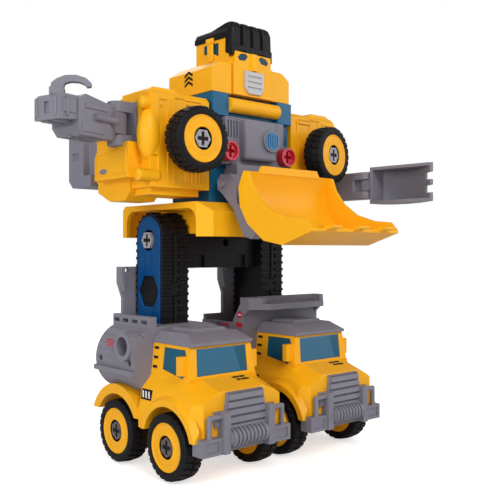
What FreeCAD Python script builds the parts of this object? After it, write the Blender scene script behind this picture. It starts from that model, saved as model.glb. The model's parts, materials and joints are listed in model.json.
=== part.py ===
import FreeCAD, Part
import math
import os
import Sketcher
from FreeCAD import Placement, Rotation, Vector

# A take-apart toy robot put together from wheeled trucks and a tracked loader.
# Millimetres. +Z is up, the robot faces -Y and its right-hand side is -X.
# The origin lies on the ground, midway between the two trucks it stands on.

os.makedirs("parts", exist_ok=True)
doc = FreeCAD.newDocument("RobotCar")
sheet = doc.addObject("Spreadsheet::Sheet", "Sizes")

SIZES = {
    # wheels
    "tyre_radius": 21.0,
    "tyre_width": 14.0,
    "rim_radius": 15.0,
    "rim_inset": 0.9,
    "hub_pocket_radius": 7.2,
    "hub_pocket_depth": 5.0,
    "screw_shank": 3.0,
    "screw_head": 6.2,
    "screw_head_height": 4.0,
    "running_gap": 0.08,
    "side_gap": 0.5,
    # trucks
    "stance": 45.5,
    "truck_y": 2.0,
    "wheelbase": 56.6,
    "chassis_half": 24.1,
    "cab_half": 33.5,
    "cab_rear": 3.0,
    "cab_floor": 28.0,
    "cab_waist": 59.0,
    "cab_top": 81.0,
    "cab_front": 56.0,
    "screen_foot": 37.2,
    "roof_half": 25.5,
    "roof_height": 7.5,
    "glass_inset": 0.5,
    "glass_thick": 1.4,
    "bumper_half": 35.7,
    "bumper_front": 61.2,
    "bumper_low": 20.4,
    "bumper_high": 30.4,
    "body_rear": 50.0,
    "body_floor": 58.0,
    "body_low": 47.0,
    "tank_half": 40.3,
    "tank_top": 91.0,
    "plate_top": 129.0,
    "plate_thick": 3.2,
    "canopy_top": 106.5,
    # legs
    "leg_y": 31.0,
    "leg_width": 22.0,
    "track_radius": 16.4,
    "track_height": 108.8,
    "panel_radius": 13.4,
    "panel_depth": 3.0,
    "panel_proud": 0.6,
    "hip_height": 147.4,
    # pelvis and torso
    "beam_gap": 0.3,
    "beam_low": 128.0,
    "beam_high": 152.0,
    "beam_depth": 9.0,
    "pelvis_half": 54.0,
    "pelvis_front": 26.0,
    "pelvis_rear": 68.0,
    "pelvis_low": 149.5,
    "pelvis_top": 172.0,
    "pelvis_wall": 3.2,
    "torso_half": 36.5,
    "torso_front": 10.0,
    "torso_rear": 34.0,
    "torso_top": 246.0,
    "plate_face": 15.6,
    "peg_radius": 6.5,
    # head
    "neck_y": 12.0,
    "neck_radius": 7.0,
    "collar_half": 36.0,
    "collar_low": 246.5,
    "collar_high": 268.0,
    "face_half": 17.8,
    "face_front": 13.5,
    "head_top": 289.0,
    "cap_top": 297.5,
    # arms
    "arm_y": 4.0,
    "arm_height": 211.0,
    "arm_gap": 1.7,
    "arm_width": 46.8,
    "arm_front": 12.0,
    "arm_shaft": 6.0,
    "wheel_out": 21.2,
    "wheel_z": 210.0,
    "left_toe": 9.0,
    "right_flank": -2.0,
    "left_flank": 15.0,
    "hinge_out": 56.8,
    "pin_radius": 3.0,
    "boom_yaw": 15.0,
    "boom_hinge_y": 10.0,
    "stick_hinge_y": 6.0,
    "stick_length": 42.0,
    "stick_low": 179.0,
    "stick_high": 199.0,
    "hook_turn": 41.0,
    # loader
    "lift_x": 28.0,
    "lift_width": 7.0,
    "lift_y": 18.0,
    "lift_z": 184.0,
    "bucket_y": 43.0,
    "bucket_z": 153.0,
    "bucket_half": 40.0,
    "bucket_wall": 2.4,
    "bucket_pin": 2.5,
}

for row, (alias, value) in enumerate(SIZES.items(), start=1):
    sheet.set("A%d" % row, alias)
    sheet.set("B%d" % row, str(value))
    sheet.setAlias("B%d" % row, alias)
doc.recompute()


class Cells:
    """Reads a driving size out of the sheet by its alias."""

    def __getattr__(self, alias):
        return float(sheet.get(alias))


c = Cells()
nodes = []


# ---------------------------------------------------------------- helpers

def box(x0, x1, y0, y1, z0, z1):
    return Part.makeBox(x1 - x0, y1 - y0, z1 - z0, Vector(x0, y0, z0))


def rod(x, y, z, radius, length, axis):
    return Part.makeCylinder(radius, length, Vector(x, y, z), Vector(*axis))


def prism(points, axis, start, end):
    """A polygon given in the plane square to an axis, pushed from start to end along it."""
    if axis == "x":
        corners = [Vector(start, a, b) for a, b in points]
        push = Vector(end - start, 0, 0)
    elif axis == "y":
        corners = [Vector(a, start, b) for a, b in points]
        push = Vector(0, end - start, 0)
    else:
        corners = [Vector(a, b, start) for a, b in points]
        push = Vector(0, 0, end - start)
    return Part.Face(Part.makePolygon(corners + corners[:1])).extrude(push)


def mirrored_outline(half):
    """A right-hand outline from bottom to top, closed by its mirror image."""
    return half + [(-a, b) for a, b in reversed(half)]


def slot_prism(y, low, high, radius, start, end):
    """A bar with round ends, standing up, pushed along X."""
    body = box(start, end, y - radius, y + radius, low + radius, high - radius)
    bottom = rod(start, y, low + radius, radius, end - start, (1, 0, 0))
    top = rod(start, y, high - radius, radius, end - start, (1, 0, 0))
    return body.fuse([bottom, top]).removeSplitter()


def hexagon(y, z, radius, start, end):
    ring = [(y + radius * math.cos(math.radians(60 * k)), z + radius * math.sin(math.radians(60 * k)))
            for k in range(6)]
    return prism(ring, "x", start, end)


def moved(shape, x, y, z):
    copy = shape.copy()
    copy.translate(Vector(x, y, z))
    return copy


def turned(shape, point, axis, angle):
    copy = shape.copy()
    copy.rotate(Vector(*point), Vector(*axis), angle)
    return copy


def flipped(shape):
    """The mirror image across the robot's middle plane."""
    return shape.mirror(Vector(0, 0, 0), Vector(1, 0, 0))


def piece(label, shape, placement=None):
    """A sub-part whose shape is worked out from the sheet's sizes."""
    feature = doc.addObject("Part::Feature", label)
    feature.Label = label
    feature.Shape = shape
    if placement is not None:
        feature.Placement = placement.multiply(feature.Placement)
    nodes.append(feature)
    return feature


# ---------------------------------------------------------------- wheels

def plane_of(body, role):
    return [plane for plane in body.Origin.OriginFeatures if plane.Role == role][0]


def turned_body(label, corners):
    """A PartDesign body revolved about X: corners hold (x, radius) expressions."""
    body = doc.addObject("PartDesign::Body", label)
    body.Label = label
    sketch = body.newObject("Sketcher::SketchObject", label + "_profile")
    sketch.AttachmentSupport = [(plane_of(body, "XY_Plane"), "")]
    sketch.MapMode = "FlatFace"
    values = [(doc_value(a), doc_value(b)) for a, b in corners]
    count = len(values)
    for k in range(count):
        start = Vector(values[k][0], values[k][1], 0)
        end = Vector(values[(k + 1) % count][0], values[(k + 1) % count][1], 0)
        sketch.addGeometry(Part.LineSegment(start, end), False)
    for k in range(count):
        sketch.addConstraint(Sketcher.Constraint("Coincident", k, 2, (k + 1) % count, 1))
    for k, (a, b) in enumerate(corners):
        across = sketch.addConstraint(Sketcher.Constraint("DistanceX", -1, 1, k, 1, values[k][0]))
        sketch.setExpression("Constraints[%d]" % across, a)
        out = sketch.addConstraint(Sketcher.Constraint("DistanceY", -1, 1, k, 1, values[k][1]))
        sketch.setExpression("Constraints[%d]" % out, b)
    spin = body.newObject("PartDesign::Revolution", label + "_turned")
    spin.Profile = sketch
    spin.ReferenceAxis = (sketch, ["H_Axis"])
    spin.Angle = 360.0
    body.Tip = spin
    return body


def doc_value(expression):
    return float(sheet.evalExpression(expression))


def wheel(name, spot, direction):
    """A tyre on its rim; the wheel's outer face looks along the direction."""
    place = Placement(Vector(*spot), Rotation(Vector(1, 0, 0), Vector(*direction)))
    tyre = turned_body(name + "_tyre", [
        ("0 * Sizes.tyre_width", "Sizes.rim_radius"),
        ("0 * Sizes.tyre_width", "Sizes.tyre_radius - 3.2"),
        ("0 - 1.4", "Sizes.tyre_radius - 1.0"),
        ("0 - 3.4", "Sizes.tyre_radius"),
        ("3.4 - Sizes.tyre_width", "Sizes.tyre_radius"),
        ("1.4 - Sizes.tyre_width", "Sizes.tyre_radius - 1.0"),
        ("-1.0 * Sizes.tyre_width", "Sizes.tyre_radius - 3.2"),
        ("-1.0 * Sizes.tyre_width", "Sizes.rim_radius"),
    ])
    bore = "Sizes.screw_shank + Sizes.running_gap"
    face = "-1.0 * Sizes.rim_inset"
    floor = "-1.0 * Sizes.rim_inset - Sizes.hub_pocket_depth"
    rim = turned_body(name + "_rim", [
        (floor, bore),
        (floor, "Sizes.hub_pocket_radius"),
        (face, "Sizes.hub_pocket_radius"),
        (face, "Sizes.rim_radius"),
        ("0.6 - Sizes.tyre_width", "Sizes.rim_radius"),
        ("0.6 - Sizes.tyre_width", bore),
    ])
    for body in (tyre, rim):
        body.Placement = place
        nodes.append(body)


def wheel_screw(length):
    """A hexagon-headed screw with a cross recess; X points out, head face just inside the rim face."""
    head_face = -c.rim_inset - c.hub_pocket_depth + 0.3 + c.screw_head_height
    under_head = head_face - c.screw_head_height
    head = hexagon(0, 0, c.screw_head, under_head, head_face)
    shank = rod(under_head - length, 0, 0, c.screw_shank, length, (1, 0, 0))
    arm = c.screw_head * 0.55
    cross = box(head_face - 2.0, head_face + 1, -arm, arm, -0.9, 0.9)
    cross = cross.fuse(box(head_face - 2.0, head_face + 1, -0.9, 0.9, -arm, arm))
    return head.fuse(shank).cut(cross).removeSplitter()


SCREW_BACK = c.rim_inset + c.hub_pocket_depth - 0.3
TRUCK_SIDES = (("outer", 1), ("inner", -1))
AXLES = (("front", -1), ("rear", 1))
TRUCKS = (("tanker", -1), ("dumper", 1))
WHEEL_FACE = c.chassis_half + c.side_gap + c.tyre_width


def truck_place(side):
    return Placement(Vector(side * c.stance, c.truck_y, 0), Rotation())


for truck, side in TRUCKS:
    for axle, end in AXLES:
        for flank, out in TRUCK_SIDES:
            x = side * (c.stance + out * WHEEL_FACE)
            spot = (x, c.truck_y + end * c.wheelbase / 2, c.tyre_radius)
            wheel("%s_%s_%s" % (truck, axle, flank), spot, (side * out, 0, 0))


# ---------------------------------------------------------------- trucks

def both_sides(shape):
    return shape.fuse(flipped(shape))


def cab_outer():
    side_view = [(c.cab_rear, c.cab_floor), (c.cab_rear, c.cab_top), (-34.6, c.cab_top), (-35.6, 78.8),
                 (-c.screen_foot, 61.7), (-c.cab_front + 1.0, 56.0), (-c.cab_front, 53.5),
                 (-c.cab_front, c.cab_floor)]
    front_view = mirrored_outline([(c.cab_half + 3.5, c.cab_floor), (c.cab_half + 3.5, 40.0),
                                   (c.cab_half + 0.5, 53.0), (c.cab_half - 5.2, c.cab_waist),
                                   (c.cab_half - 6.3, c.cab_waist + 2.0), (c.roof_half - 0.8, c.cab_top)])
    plan = mirrored_outline([(c.cab_half - 2.5, -c.cab_front), (c.cab_half + 3.0, -48.0),
                             (c.cab_half + 4.0, -42.0), (c.cab_half + 4.0, c.cab_rear)])
    wide = c.cab_half + 6
    body = prism(side_view, "x", -wide, wide)
    body = body.common(prism(front_view, "y", -c.cab_front - 2, c.cab_rear + 1))
    body = body.common(prism(plan, "z", c.cab_floor - 1, c.cab_top + 1))
    # the bonnet falls away on both sides of its raised middle
    slope = [(17.0, 80.0), (60.0, 80.0), (60.0, 50.0), (38.0, 50.0), (33.5, 55.0), (27.0, 59.0), (19.0, 61.5)]
    shoulder = prism(slope, "y", -c.cab_front - 8, -c.screen_foot - 0.4)
    shoulder = turned(shoulder, (0, -c.screen_foot, 60.0), (1, 0, 0), 19)
    flare = Part.makeCone(31.0, 28.5, 4.2, Vector(34.0, -c.wheelbase / 2, c.tyre_radius), Vector(1, 0, 0))
    flare = flare.common(box(30, 40, -c.cab_front, c.cab_rear, c.cab_floor, 60))
    return body.cut(both_sides(shoulder)).fuse(both_sides(flare)).removeSplitter()


def window_prisms():
    pane = [(-8.5, 79.0), (-30.5, 79.0), (-32.5, 75.0), (-31.0, 61.4), (-8.5, 65.0)]
    side_pane = both_sides(prism(pane, "x", 18.0, 45.0))
    screen = prism(mirrored_outline([(20.8, 62.8), (20.2, 79.6)]), "y", -45.0, -30.0)
    return side_pane, screen


def cab_and_glass():
    outer = cab_outer()
    side_pane, screen = window_prisms()
    deep = c.glass_inset + c.glass_thick
    right = prism([(-60, 20), (10, 20), (10, 100), (-60, 100)], "x", -60, 0)
    left = prism([(-60, 20), (10, 20), (10, 100), (-60, 100)], "x", 0, 60)
    glass = []
    pockets = []
    for half, way in ((right, 1), (left, -1)):
        pane = side_pane.common(half)
        near = pane.common(moved(outer, way * c.glass_inset, 0, 0))
        glass.append(near.cut(moved(outer, way * deep, 0, 0)))
        pockets.append(pane.cut(moved(outer, way * deep, 0, 0)))
    near = screen.common(moved(outer, 0, c.glass_inset, 0))
    glass.append(near.cut(moved(outer, 0, deep, 0)))
    pockets.append(screen.cut(moved(outer, 0, deep, 0)))
    cab = outer.cut(pockets)
    arch = rod(-60, -c.wheelbase / 2, c.tyre_radius, c.tyre_radius + 3.5, 120, (1, 0, 0))
    cab = cab.cut(arch.cut(box(-c.chassis_half + 0.2, c.chassis_half - 0.2, -80, 20, 0, 60)))
    cabin = box(-20, 20, -31, c.cab_rear - 2.5, 46, 76)
    cab = cab.cut(cabin)
    mirror = both_sides(box(24.0, 31.5, -34.0, -30.0, 64.0, 75.5))
    cab = cab.fuse(mirror.cut(outer)).removeSplitter()
    return cab, Part.makeCompound([solid for shape in glass for solid in shape.Solids])


def roof():
    low = c.cab_top
    high = c.cab_top + c.roof_height
    front_view = mirrored_outline([(c.roof_half, low), (c.roof_half, low + 1.6), (c.roof_half - 5.5, high)])
    side_view = [(c.cab_rear, low), (c.cab_rear, high), (-27.0, high), (-37.0, low + 2.0), (-37.0, low)]
    shell = prism(front_view, "y", -37.0, c.cab_rear).common(prism(side_view, "x", -40, 40))
    panel = prism(mirrored_outline([(14.5, high), (12.0, high + 2.2)]), "y", -24.0, -1.0)
    return shell.fuse(panel).removeSplitter()


def bumper():
    front = -c.bumper_front
    half = c.bumper_half
    low = c.bumper_low
    high = c.bumper_high
    bar = box(-half, half, front, front + 5.0, low, high)
    ends = both_sides(box(half - 2.8, half, front, front + 9.6, low, high))
    panels = both_sides(box(half - 12.5, half - 2.5, front - 1, front + 0.8, low + 2, high - 2))
    bar = bar.fuse(ends).cut(panels)
    bar = bar.cut(box(-15.5, 15.5, front - 1, front + 3.4, low - 1, high + 1))
    uprights = both_sides(box(15.5, 20.5, front - 1.6, front + 5.6, low, 45.0))
    drum = rod(-15.5, front + 1.2, low + 8.6, 4.6, 31.0, (1, 0, 0))
    for k in range(9):
        drum = drum.fuse(rod(-14.0 + 3.1 * k, front + 1.2, low + 8.6, 5.7, 1.7, (1, 0, 0)))
    grille_view = mirrored_outline([(17.6, 32.0), (14.2, 55.5)])
    grille = prism(grille_view, "y", -59.0, -c.cab_front)
    for k in range(5):
        grille = grille.cut(box(-30, 30, -60, -58.2, 36.0 + 4.6 * k, 36.8 + 4.6 * k))
    tube = 1.6
    rail = rod(19.5, front + 1.6, 42.4, tube, 10.0, (1, 0, 0))
    rail = rail.fuse(rod(29.5, front + 1.6, high - 1, tube, 42.4 - high + 1, (0, 0, 1)))
    rail = rail.fuse(Part.makeSphere(tube, Vector(29.5, front + 1.6, 42.4)))
    lamp = box(19.5, 24.0, front + 3.0, front + 6.0, 36.0, 45.0)
    whole = bar.fuse([uprights, drum, grille, both_sides(rail), both_sides(lamp)])
    tie = box(-17.6, 17.6, front + 3.0, -c.cab_front, low + 2, 36.0)
    cab_space = box(-60, 60, -c.cab_front, 0, c.cab_floor, 90)
    beam_space = box(-c.chassis_half, c.chassis_half, -c.cab_front, 0, 0, c.cab_floor)
    return whole.fuse(tie).cut([cab_space, beam_space]).removeSplitter()


def chassis():
    nose = -c.wheelbase / 2 - 8.0
    view = [(-c.cab_front, c.bumper_low + 1.0), (-c.cab_front, c.cab_floor), (c.body_rear, c.cab_floor),
            (c.body_rear, 13.0), (nose, 13.0)]
    beam = prism(view, "x", -c.chassis_half, c.chassis_half)
    fender = rod(-38.0, c.wheelbase / 2, c.tyre_radius, c.tyre_radius + 10.0, 76.0, (1, 0, 0))
    fender = fender.cut(rod(-39.0, c.wheelbase / 2, c.tyre_radius, c.tyre_radius + 3.5, 78.0, (1, 0, 0)))
    fender = fender.common(box(-39, 39, c.cab_rear, c.body_rear + 9, 33.0, 70))
    fender = fender.cut(box(-22, 22, 0, 90, 28.0, 90))
    stay = box(-24.0, 24.0, c.cab_rear, c.body_rear, c.cab_floor, c.body_low)
    stay = stay.cut(box(-19.0, 19.0, c.cab_rear + 4, c.body_rear - 4, c.cab_floor - 1, c.body_low + 1))
    frame = beam.fuse([stay, fender])
    for end in (-1, 1):
        hole = rod(-60, end * c.wheelbase / 2, c.tyre_radius, c.screw_shank, 120, (1, 0, 0))
        frame = frame.cut(hole.common(box(-60, 60, -80, 80, 0, 60)).cut(box(-10, 10, -80, 80, 0, 60)))
    return frame.removeSplitter()


def rear_plate():
    rear = c.body_rear
    front = rear - c.plate_thick
    outline = mirrored_outline([(20.5, c.tank_top - 8), (20.5, 108.0), (24.0, 118.0), (24.0, c.plate_top)])
    plate = prism(outline, "y", front, rear)
    frame = both_sides(prism([(24.0, 118.0), (24.0, c.plate_top), (21.6, c.plate_top), (21.6, 112.0)],
                             "y", front - 4.0, front))
    plate = plate.fuse(frame)
    return plate.cut(both_sides(rod(17.4, front - 6, 126.5, 1.6, 20, (0, 1, 0))))


def leg_socket(height):
    across = c.leg_width / 2 + c.panel_proud + 0.2
    start = c.leg_y - c.truck_y - c.track_radius - 0.3
    end = c.leg_y - c.truck_y + c.track_radius + 0.2
    return box(-across, across, start, end, c.body_floor, height)


def fender_space():
    return rod(-60, c.wheelbase / 2, c.tyre_radius, c.tyre_radius + 10.3, 120, (1, 0, 0))


def tank_body():
    """The rounded tank; its port and its walkway are on the -X side, away from the other truck."""
    rear = c.body_rear
    middle = (c.tank_top + c.body_low) / 2 - 1.0
    bend = c.tank_top - middle
    flat = c.tank_half - bend
    length = rear - c.cab_rear
    tank = box(-flat, flat, c.cab_rear, rear, c.body_low, c.tank_top)
    for x in (-flat, flat):
        tank = tank.fuse(rod(x, c.cab_rear, middle, bend, length, (0, 1, 0)))
    tank = tank.common(box(-60, 60, c.cab_rear, rear, c.body_low, c.tank_top))
    rails = both_sides(box(c.tank_half - 1.5, c.tank_half + 1.6, c.cab_rear, rear, 60.0, 63.2))
    walkway = box(-27.5, -23.0, c.cab_rear, rear - 1.5, 84.0, 97.0)
    for k in range(4):
        at = c.cab_rear + 4.5 + 11.0 * k
        walkway = walkway.cut(box(-29, -22, at, at + 7.0, 92.0, 94.4))
    port_y = 13.2
    port_z = 78.5
    port = rod(-43.0, port_y, port_z, 9.3, 10.0, (1, 0, 0))
    port = port.fuse(box(-41.0, -34.0, port_y - 12.0, port_y - 5.0, port_z - 7.0, port_z + 7.0)
                     .common(box(-60, 0, c.cab_rear, rear, 0, 200)))
    hitch = box(-9.0, 9.0, rear, rear + 3.4, 44.0, 56.0)
    for k in range(3):
        hitch = hitch.fuse(box(-8.0 + 6.4 * k, -4.8 + 6.4 * k, rear + 3.4, rear + 6.4, 45.0, 55.0))
    body = tank.fuse([rails, walkway, port, hitch, rear_plate()])
    body = body.cut(rod(-44.0, port_y, port_z, 6.2, 16.0, (1, 0, 0)))
    body = body.cut(both_sides(rod(c.tank_half - 5, c.cab_rear + 5.5, 68.0, 2.2, 20, (1, 0, 0))))
    body = body.cut(both_sides(rod(c.tank_half - 5, rear - 6.5, 68.0, 2.2, 20, (1, 0, 0))))
    return body.cut([leg_socket(140.0), fender_space()]).removeSplitter()


def dump_body():
    """The tipping bed with its canopy reaching forward over the cab roof."""
    rear = c.body_rear
    wall = 3.0
    half = c.tank_half - 1.5
    tub = box(-half, half, c.cab_rear, rear, c.body_low, 88.0)
    tub = tub.cut(box(-half + wall, half - wall, c.cab_rear + wall, rear - wall, c.body_floor, 90.0))
    front = box(-half, half, c.cab_rear, c.cab_rear + wall, 80.0, c.canopy_top)
    flap_view = [(14.0, 84.0), (c.cab_rear, 84.0), (c.cab_rear, 93.0), (-3.0, 98.5), (-3.0, c.canopy_top),
                 (c.cab_rear, c.canopy_top), (14.0, 90.0)]
    flaps = both_sides(prism(flap_view, "x", half - wall, half))
    low = c.canopy_top - 8.5
    plan = mirrored_outline([(28.0, -14.0), (half, -3.0), (half, c.cab_rear + 1)])
    hollow = mirrored_outline([(26.5, -11.4), (half - wall, -1.6), (half - wall, c.cab_rear + 2)])
    canopy = prism(plan, "z", low, c.canopy_top).cut(prism(hollow, "z", low + 2.4, c.canopy_top + 1))
    canopy = canopy.cut(box(-60, 60, -20, -10.0, c.canopy_top - 4.2, c.canopy_top + 1))
    ribs = both_sides(box(half, half + 1.6, c.cab_rear, rear, 60.0, 63.2))
    posts = box(half, half + 1.4, 14.0, 17.0, 63.2, 88.0).fuse(box(half, half + 1.4, 32.0, 35.0, 63.2, 88.0))
    hitch = box(-9.0, 9.0, rear, rear + 3.4, 44.0, 56.0)
    web = box(-half + 1, half - 1, rear - wall, rear, 80.0, 92.0)
    body = tub.fuse([front, flaps, canopy, ribs, both_sides(posts), hitch, web, rear_plate()])
    return body.cut([leg_socket(140.0), fender_space()]).removeSplitter()


cab_shape, glass_shape = cab_and_glass()
for truck, side in TRUCKS:
    place = truck_place(side)
    piece(truck + "_cab", cab_shape, place)
    piece(truck + "_windows", glass_shape, place)
    piece(truck + "_roof", roof(), place)
    piece(truck + "_bumper", bumper(), place)
    piece(truck + "_chassis", chassis(), place)
    body_shape = tank_body() if truck == "tanker" else dump_body()
    piece(truck + "_body", body_shape, place)
    screws = []
    for axle, end in AXLES:
        for out in (-1, 1):
            screw = wheel_screw(WHEEL_FACE - SCREW_BACK - 10.0)
            if out < 0:
                screw = turned(screw, (0, 0, 0), (0, 0, 1), 180)
            screws.append(moved(screw, out * WHEEL_FACE, end * c.wheelbase / 2, c.tyre_radius))
    piece(truck + "_wheel_screws", Part.makeCompound(screws), place)


# ---------------------------------------------------------------- legs

LEG_IN = c.stance - c.leg_width / 2
LEG_OUT = c.stance + c.leg_width / 2
TRACK_TOP = c.body_floor + c.track_height
BEAM_HALF = LEG_IN - c.beam_gap


def leg_pieces(name, side):
    track = slot_prism(c.leg_y, c.body_floor, TRACK_TOP, c.track_radius, LEG_IN, LEG_OUT)
    seat = slot_prism(c.leg_y, c.body_floor + c.track_radius - c.panel_radius,
                      TRACK_TOP - c.track_radius + c.panel_radius, c.panel_radius,
                      LEG_OUT - c.panel_depth, LEG_OUT + 1)
    bore = rod(0, c.leg_y, c.hip_height, c.screw_shank + c.running_gap, 80, (1, 0, 0))
    track = track.cut([seat, bore])
    inner = slot_prism(c.leg_y, c.body_floor + 12, TRACK_TOP - 30, c.track_radius - 6, LEG_IN - 1, LEG_IN + 3)
    track = track.cut(inner)
    panel = slot_prism(c.leg_y, c.body_floor + c.track_radius - c.panel_radius,
                       TRACK_TOP - c.track_radius + c.panel_radius, c.panel_radius - c.running_gap,
                       LEG_OUT - c.panel_depth, LEG_OUT + c.panel_proud)
    middle = (c.body_floor + TRACK_TOP) / 2
    panel = panel.cut(hexagon(c.leg_y, middle, c.panel_radius - 1.4, LEG_OUT - 1.6, LEG_OUT + 2))
    panel = panel.cut(rod(0, c.leg_y, c.hip_height, c.hub_pocket_radius, 80, (1, 0, 0)))
    if side < 0:
        track = flipped(track)
        panel = flipped(panel)
    piece(name + "_track", track)
    piece(name + "_leg_panel", panel)


leg_pieces("right", -1)
leg_pieces("left", 1)

HIP_FACE = LEG_OUT - c.panel_depth + SCREW_BACK + 0.2
hip_length = HIP_FACE - SCREW_BACK - 20.0
hip_screw = moved(wheel_screw(hip_length), HIP_FACE, c.leg_y, c.hip_height)
piece("hip_screws", Part.makeCompound([flipped(hip_screw), hip_screw]))


# ---------------------------------------------------------------- pelvis

def crossbeam():
    y0 = c.leg_y - c.beam_depth
    y1 = c.leg_y + c.beam_depth
    beam = box(-BEAM_HALF, BEAM_HALF, y0, y1, c.beam_low, c.beam_high)
    beam = beam.cut(rod(5.0, y0 - 1, 146.0, 2.6, 8, (0, 1, 0)))
    waist = both_sides(box(15.0, 24.0, y0 - 1, y0 + 2.0, c.beam_low - 1, c.beam_low + 9))
    hole = rod(-60, c.leg_y, c.hip_height, c.screw_shank, 120, (1, 0, 0)).cut(
        box(-20, 20, 0, 80, 0, 200))
    return beam.cut([waist, hole]).removeSplitter()


def pelvis():
    half = c.pelvis_half
    front = -c.pelvis_front
    rear = c.pelvis_rear
    wall = c.pelvis_wall
    low = c.pelvis_low
    top = c.pelvis_top
    plan = mirrored_outline([(half - 8, front), (half, front + 8), (half, rear)])
    side_view = [(front, low), (front, top - 6), (front + 8, top), (rear - 3, top), (rear, top - 3),
                 (rear, low)]
    shell = prism(plan, "z", low, top).common(prism(side_view, "x", -half - 1, half + 1))
    space = box(-half + wall, half - wall, front + 2 * wall, rear - wall, low - 1, top - wall - 0.8)
    shell = shell.cut(space)
    arch = box(-half - 1, half + 1, front + 16, rear - 12, low - 1, top - 4.0)
    arch = arch.fuse(box(-half - 1, half + 1, front + 8, rear - 5, low - 1, top - 13.0))
    for y in (front + 17, rear - 14):
        arch = arch.fuse(rod(-half - 1, y, top - 13.0, 9.0, 2 * half + 2, (1, 0, 0)))
    shell = shell.cut(arch.cut(box(-BEAM_HALF, BEAM_HALF, -80, 80, 0, 300)))
    core = box(1.2 - BEAM_HALF, BEAM_HALF - 1.2, front + 2 * wall, rear - wall, c.beam_high, top - wall)
    core = core.cut(box(-25.0, 25.0, front + 4 * wall, rear - 3 * wall, c.beam_high - 1, top - 3 * wall)
                    .cut(box(-BEAM_HALF + 4, BEAM_HALF - 4, c.leg_y - 12, c.leg_y + 12, 0, 300)))
    return shell.fuse(core).removeSplitter()


piece("crossbeam", crossbeam())
piece("pelvis_body", pelvis())


# ---------------------------------------------------------------- torso

PLATE = -c.plate_face
LIFT_END = c.lift_x + c.lift_width / 2 + 2.5
LIFT_BLIND = c.lift_x + c.lift_width / 2 - 1.5


def torso():
    half = c.torso_half
    front = -c.torso_front
    rear = c.torso_rear
    trunk = box(-half, half, front, rear, 198.0, c.torso_top - 2.0)
    waist = box(-half + 2.0, half - 2.0, front + 2, rear, c.pelvis_top, 198.0)
    posts = both_sides(box(23.0, half, front - 4.2, front + 2, 230.6, c.torso_top))
    deck = box(-half, half, front + 2, rear, c.torso_top - 2.0, c.torso_top)
    neck = rod(0, c.neck_y, c.torso_top, c.neck_radius, 5.0, (0, 0, 1))
    shafts = rod(-half - 13, c.arm_y, c.arm_height, c.arm_shaft, 2 * half + 26, (1, 0, 0))
    pack = box(-24.0, 24.0, rear, rear + 4.0, 186.0, 236.0)
    hatch = box(-15.0, 15.0, rear + 4.0, rear + 5.0, 196.0, 226.0)
    return trunk.fuse([waist, posts, deck, neck, shafts, pack, hatch]).removeSplitter()


def chest_plate():
    front = -c.torso_front
    outline = mirrored_outline([(21.0, 198.0), (27.0, 203.0), (27.0, 230.3)])
    plate = prism(outline, "y", PLATE, front)
    bosses = both_sides(rod(26.6, PLATE, 206.4, 8.2, c.plate_face - c.torso_front, (0, 1, 0)))
    speaker = box(-15.0, 14.0, -22.6, PLATE, 201.5, 229.0)
    edges = [e for e in speaker.Edges if abs(e.BoundBox.YMin + 22.6) < 0.01 or e.BoundBox.YLength > 6.0]
    speaker = speaker.makeFillet(2.4, edges)
    ring = rod(7.6, -24.6, 215.6, 7.6, 2.4, (0, 1, 0))
    bracket = box(-22.0, 22.0, -c.lift_y - 3.4, front, c.lift_z - 5.0, 198.0)
    bracket = bracket.fuse(box(-22.0, 22.0, front, front + 2.0, c.lift_z - 5.0, 196.0))
    humps = both_sides(rod(14.0, -c.lift_y - 3.4, 192.5, 5.5, 8.0, (0, 1, 0)))
    shaft = rod(-LIFT_END, -c.lift_y, c.lift_z, c.bucket_pin, 2 * LIFT_END, (1, 0, 0))
    whole = plate.fuse([bosses, speaker, ring, bracket, humps, shaft])
    whole = whole.cut(rod(7.6, -25.0, 215.6, 6.2, 2.0, (0, 1, 0)))
    for k in range(4):
        whole = whole.cut(box(-25.4 + 2.6 * k, -24.1 + 2.6 * k, PLATE - 1, PLATE + 1.4, 216.5, 228.0))
    whole = whole.cut(both_sides(rod(26.6, -30, 206.4, c.peg_radius + c.running_gap, 40, (0, 1, 0))))
    return whole.removeSplitter()


def peg():
    body = rod(26.6, -21.7, 206.4, c.peg_radius, 21.7 - c.torso_front, (0, 1, 0))
    body = body.cut(rod(26.6, -22.0, 206.4, c.peg_radius - 1.3, 2.0, (0, 1, 0)))
    head = rod(26.6, -20.0, 206.4, c.peg_radius - 1.3, 0.5, (0, 1, 0))
    cross = box(22.6, 30.6, -22, -16.5, 205.3, 207.5).fuse(box(25.5, 27.7, -22, -16.5, 202.4, 210.4))
    return body.fuse(head).cut(cross).removeSplitter()


piece("torso_body", torso())
piece("chest_plate", chest_plate())
piece("chest_pegs", Part.makeCompound([flipped(peg()), peg()]))
chest_bar = rod(-22.7, -c.torso_front - 3.0, 238.6, 5.0, 45.4, (1, 0, 0)).fuse(
    box(-22.7, 22.7, -c.torso_front - 3.0, -c.torso_front, 234.4, 243.0))
piece("chest_bar", chest_bar.cut(box(-30, 30, -c.torso_front, 0, 200, 260)).removeSplitter())
disc = rod(7.6, -24.9, 215.6, 6.1, 1.9, (0, 1, 0))
for k in range(5):
    disc = disc.cut(box(3.1 + 2.1 * k, 3.9 + 2.1 * k, -26.0, -24.2, 210.8, 220.4))
piece("chest_disc", disc)


# ---------------------------------------------------------------- loader

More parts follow.
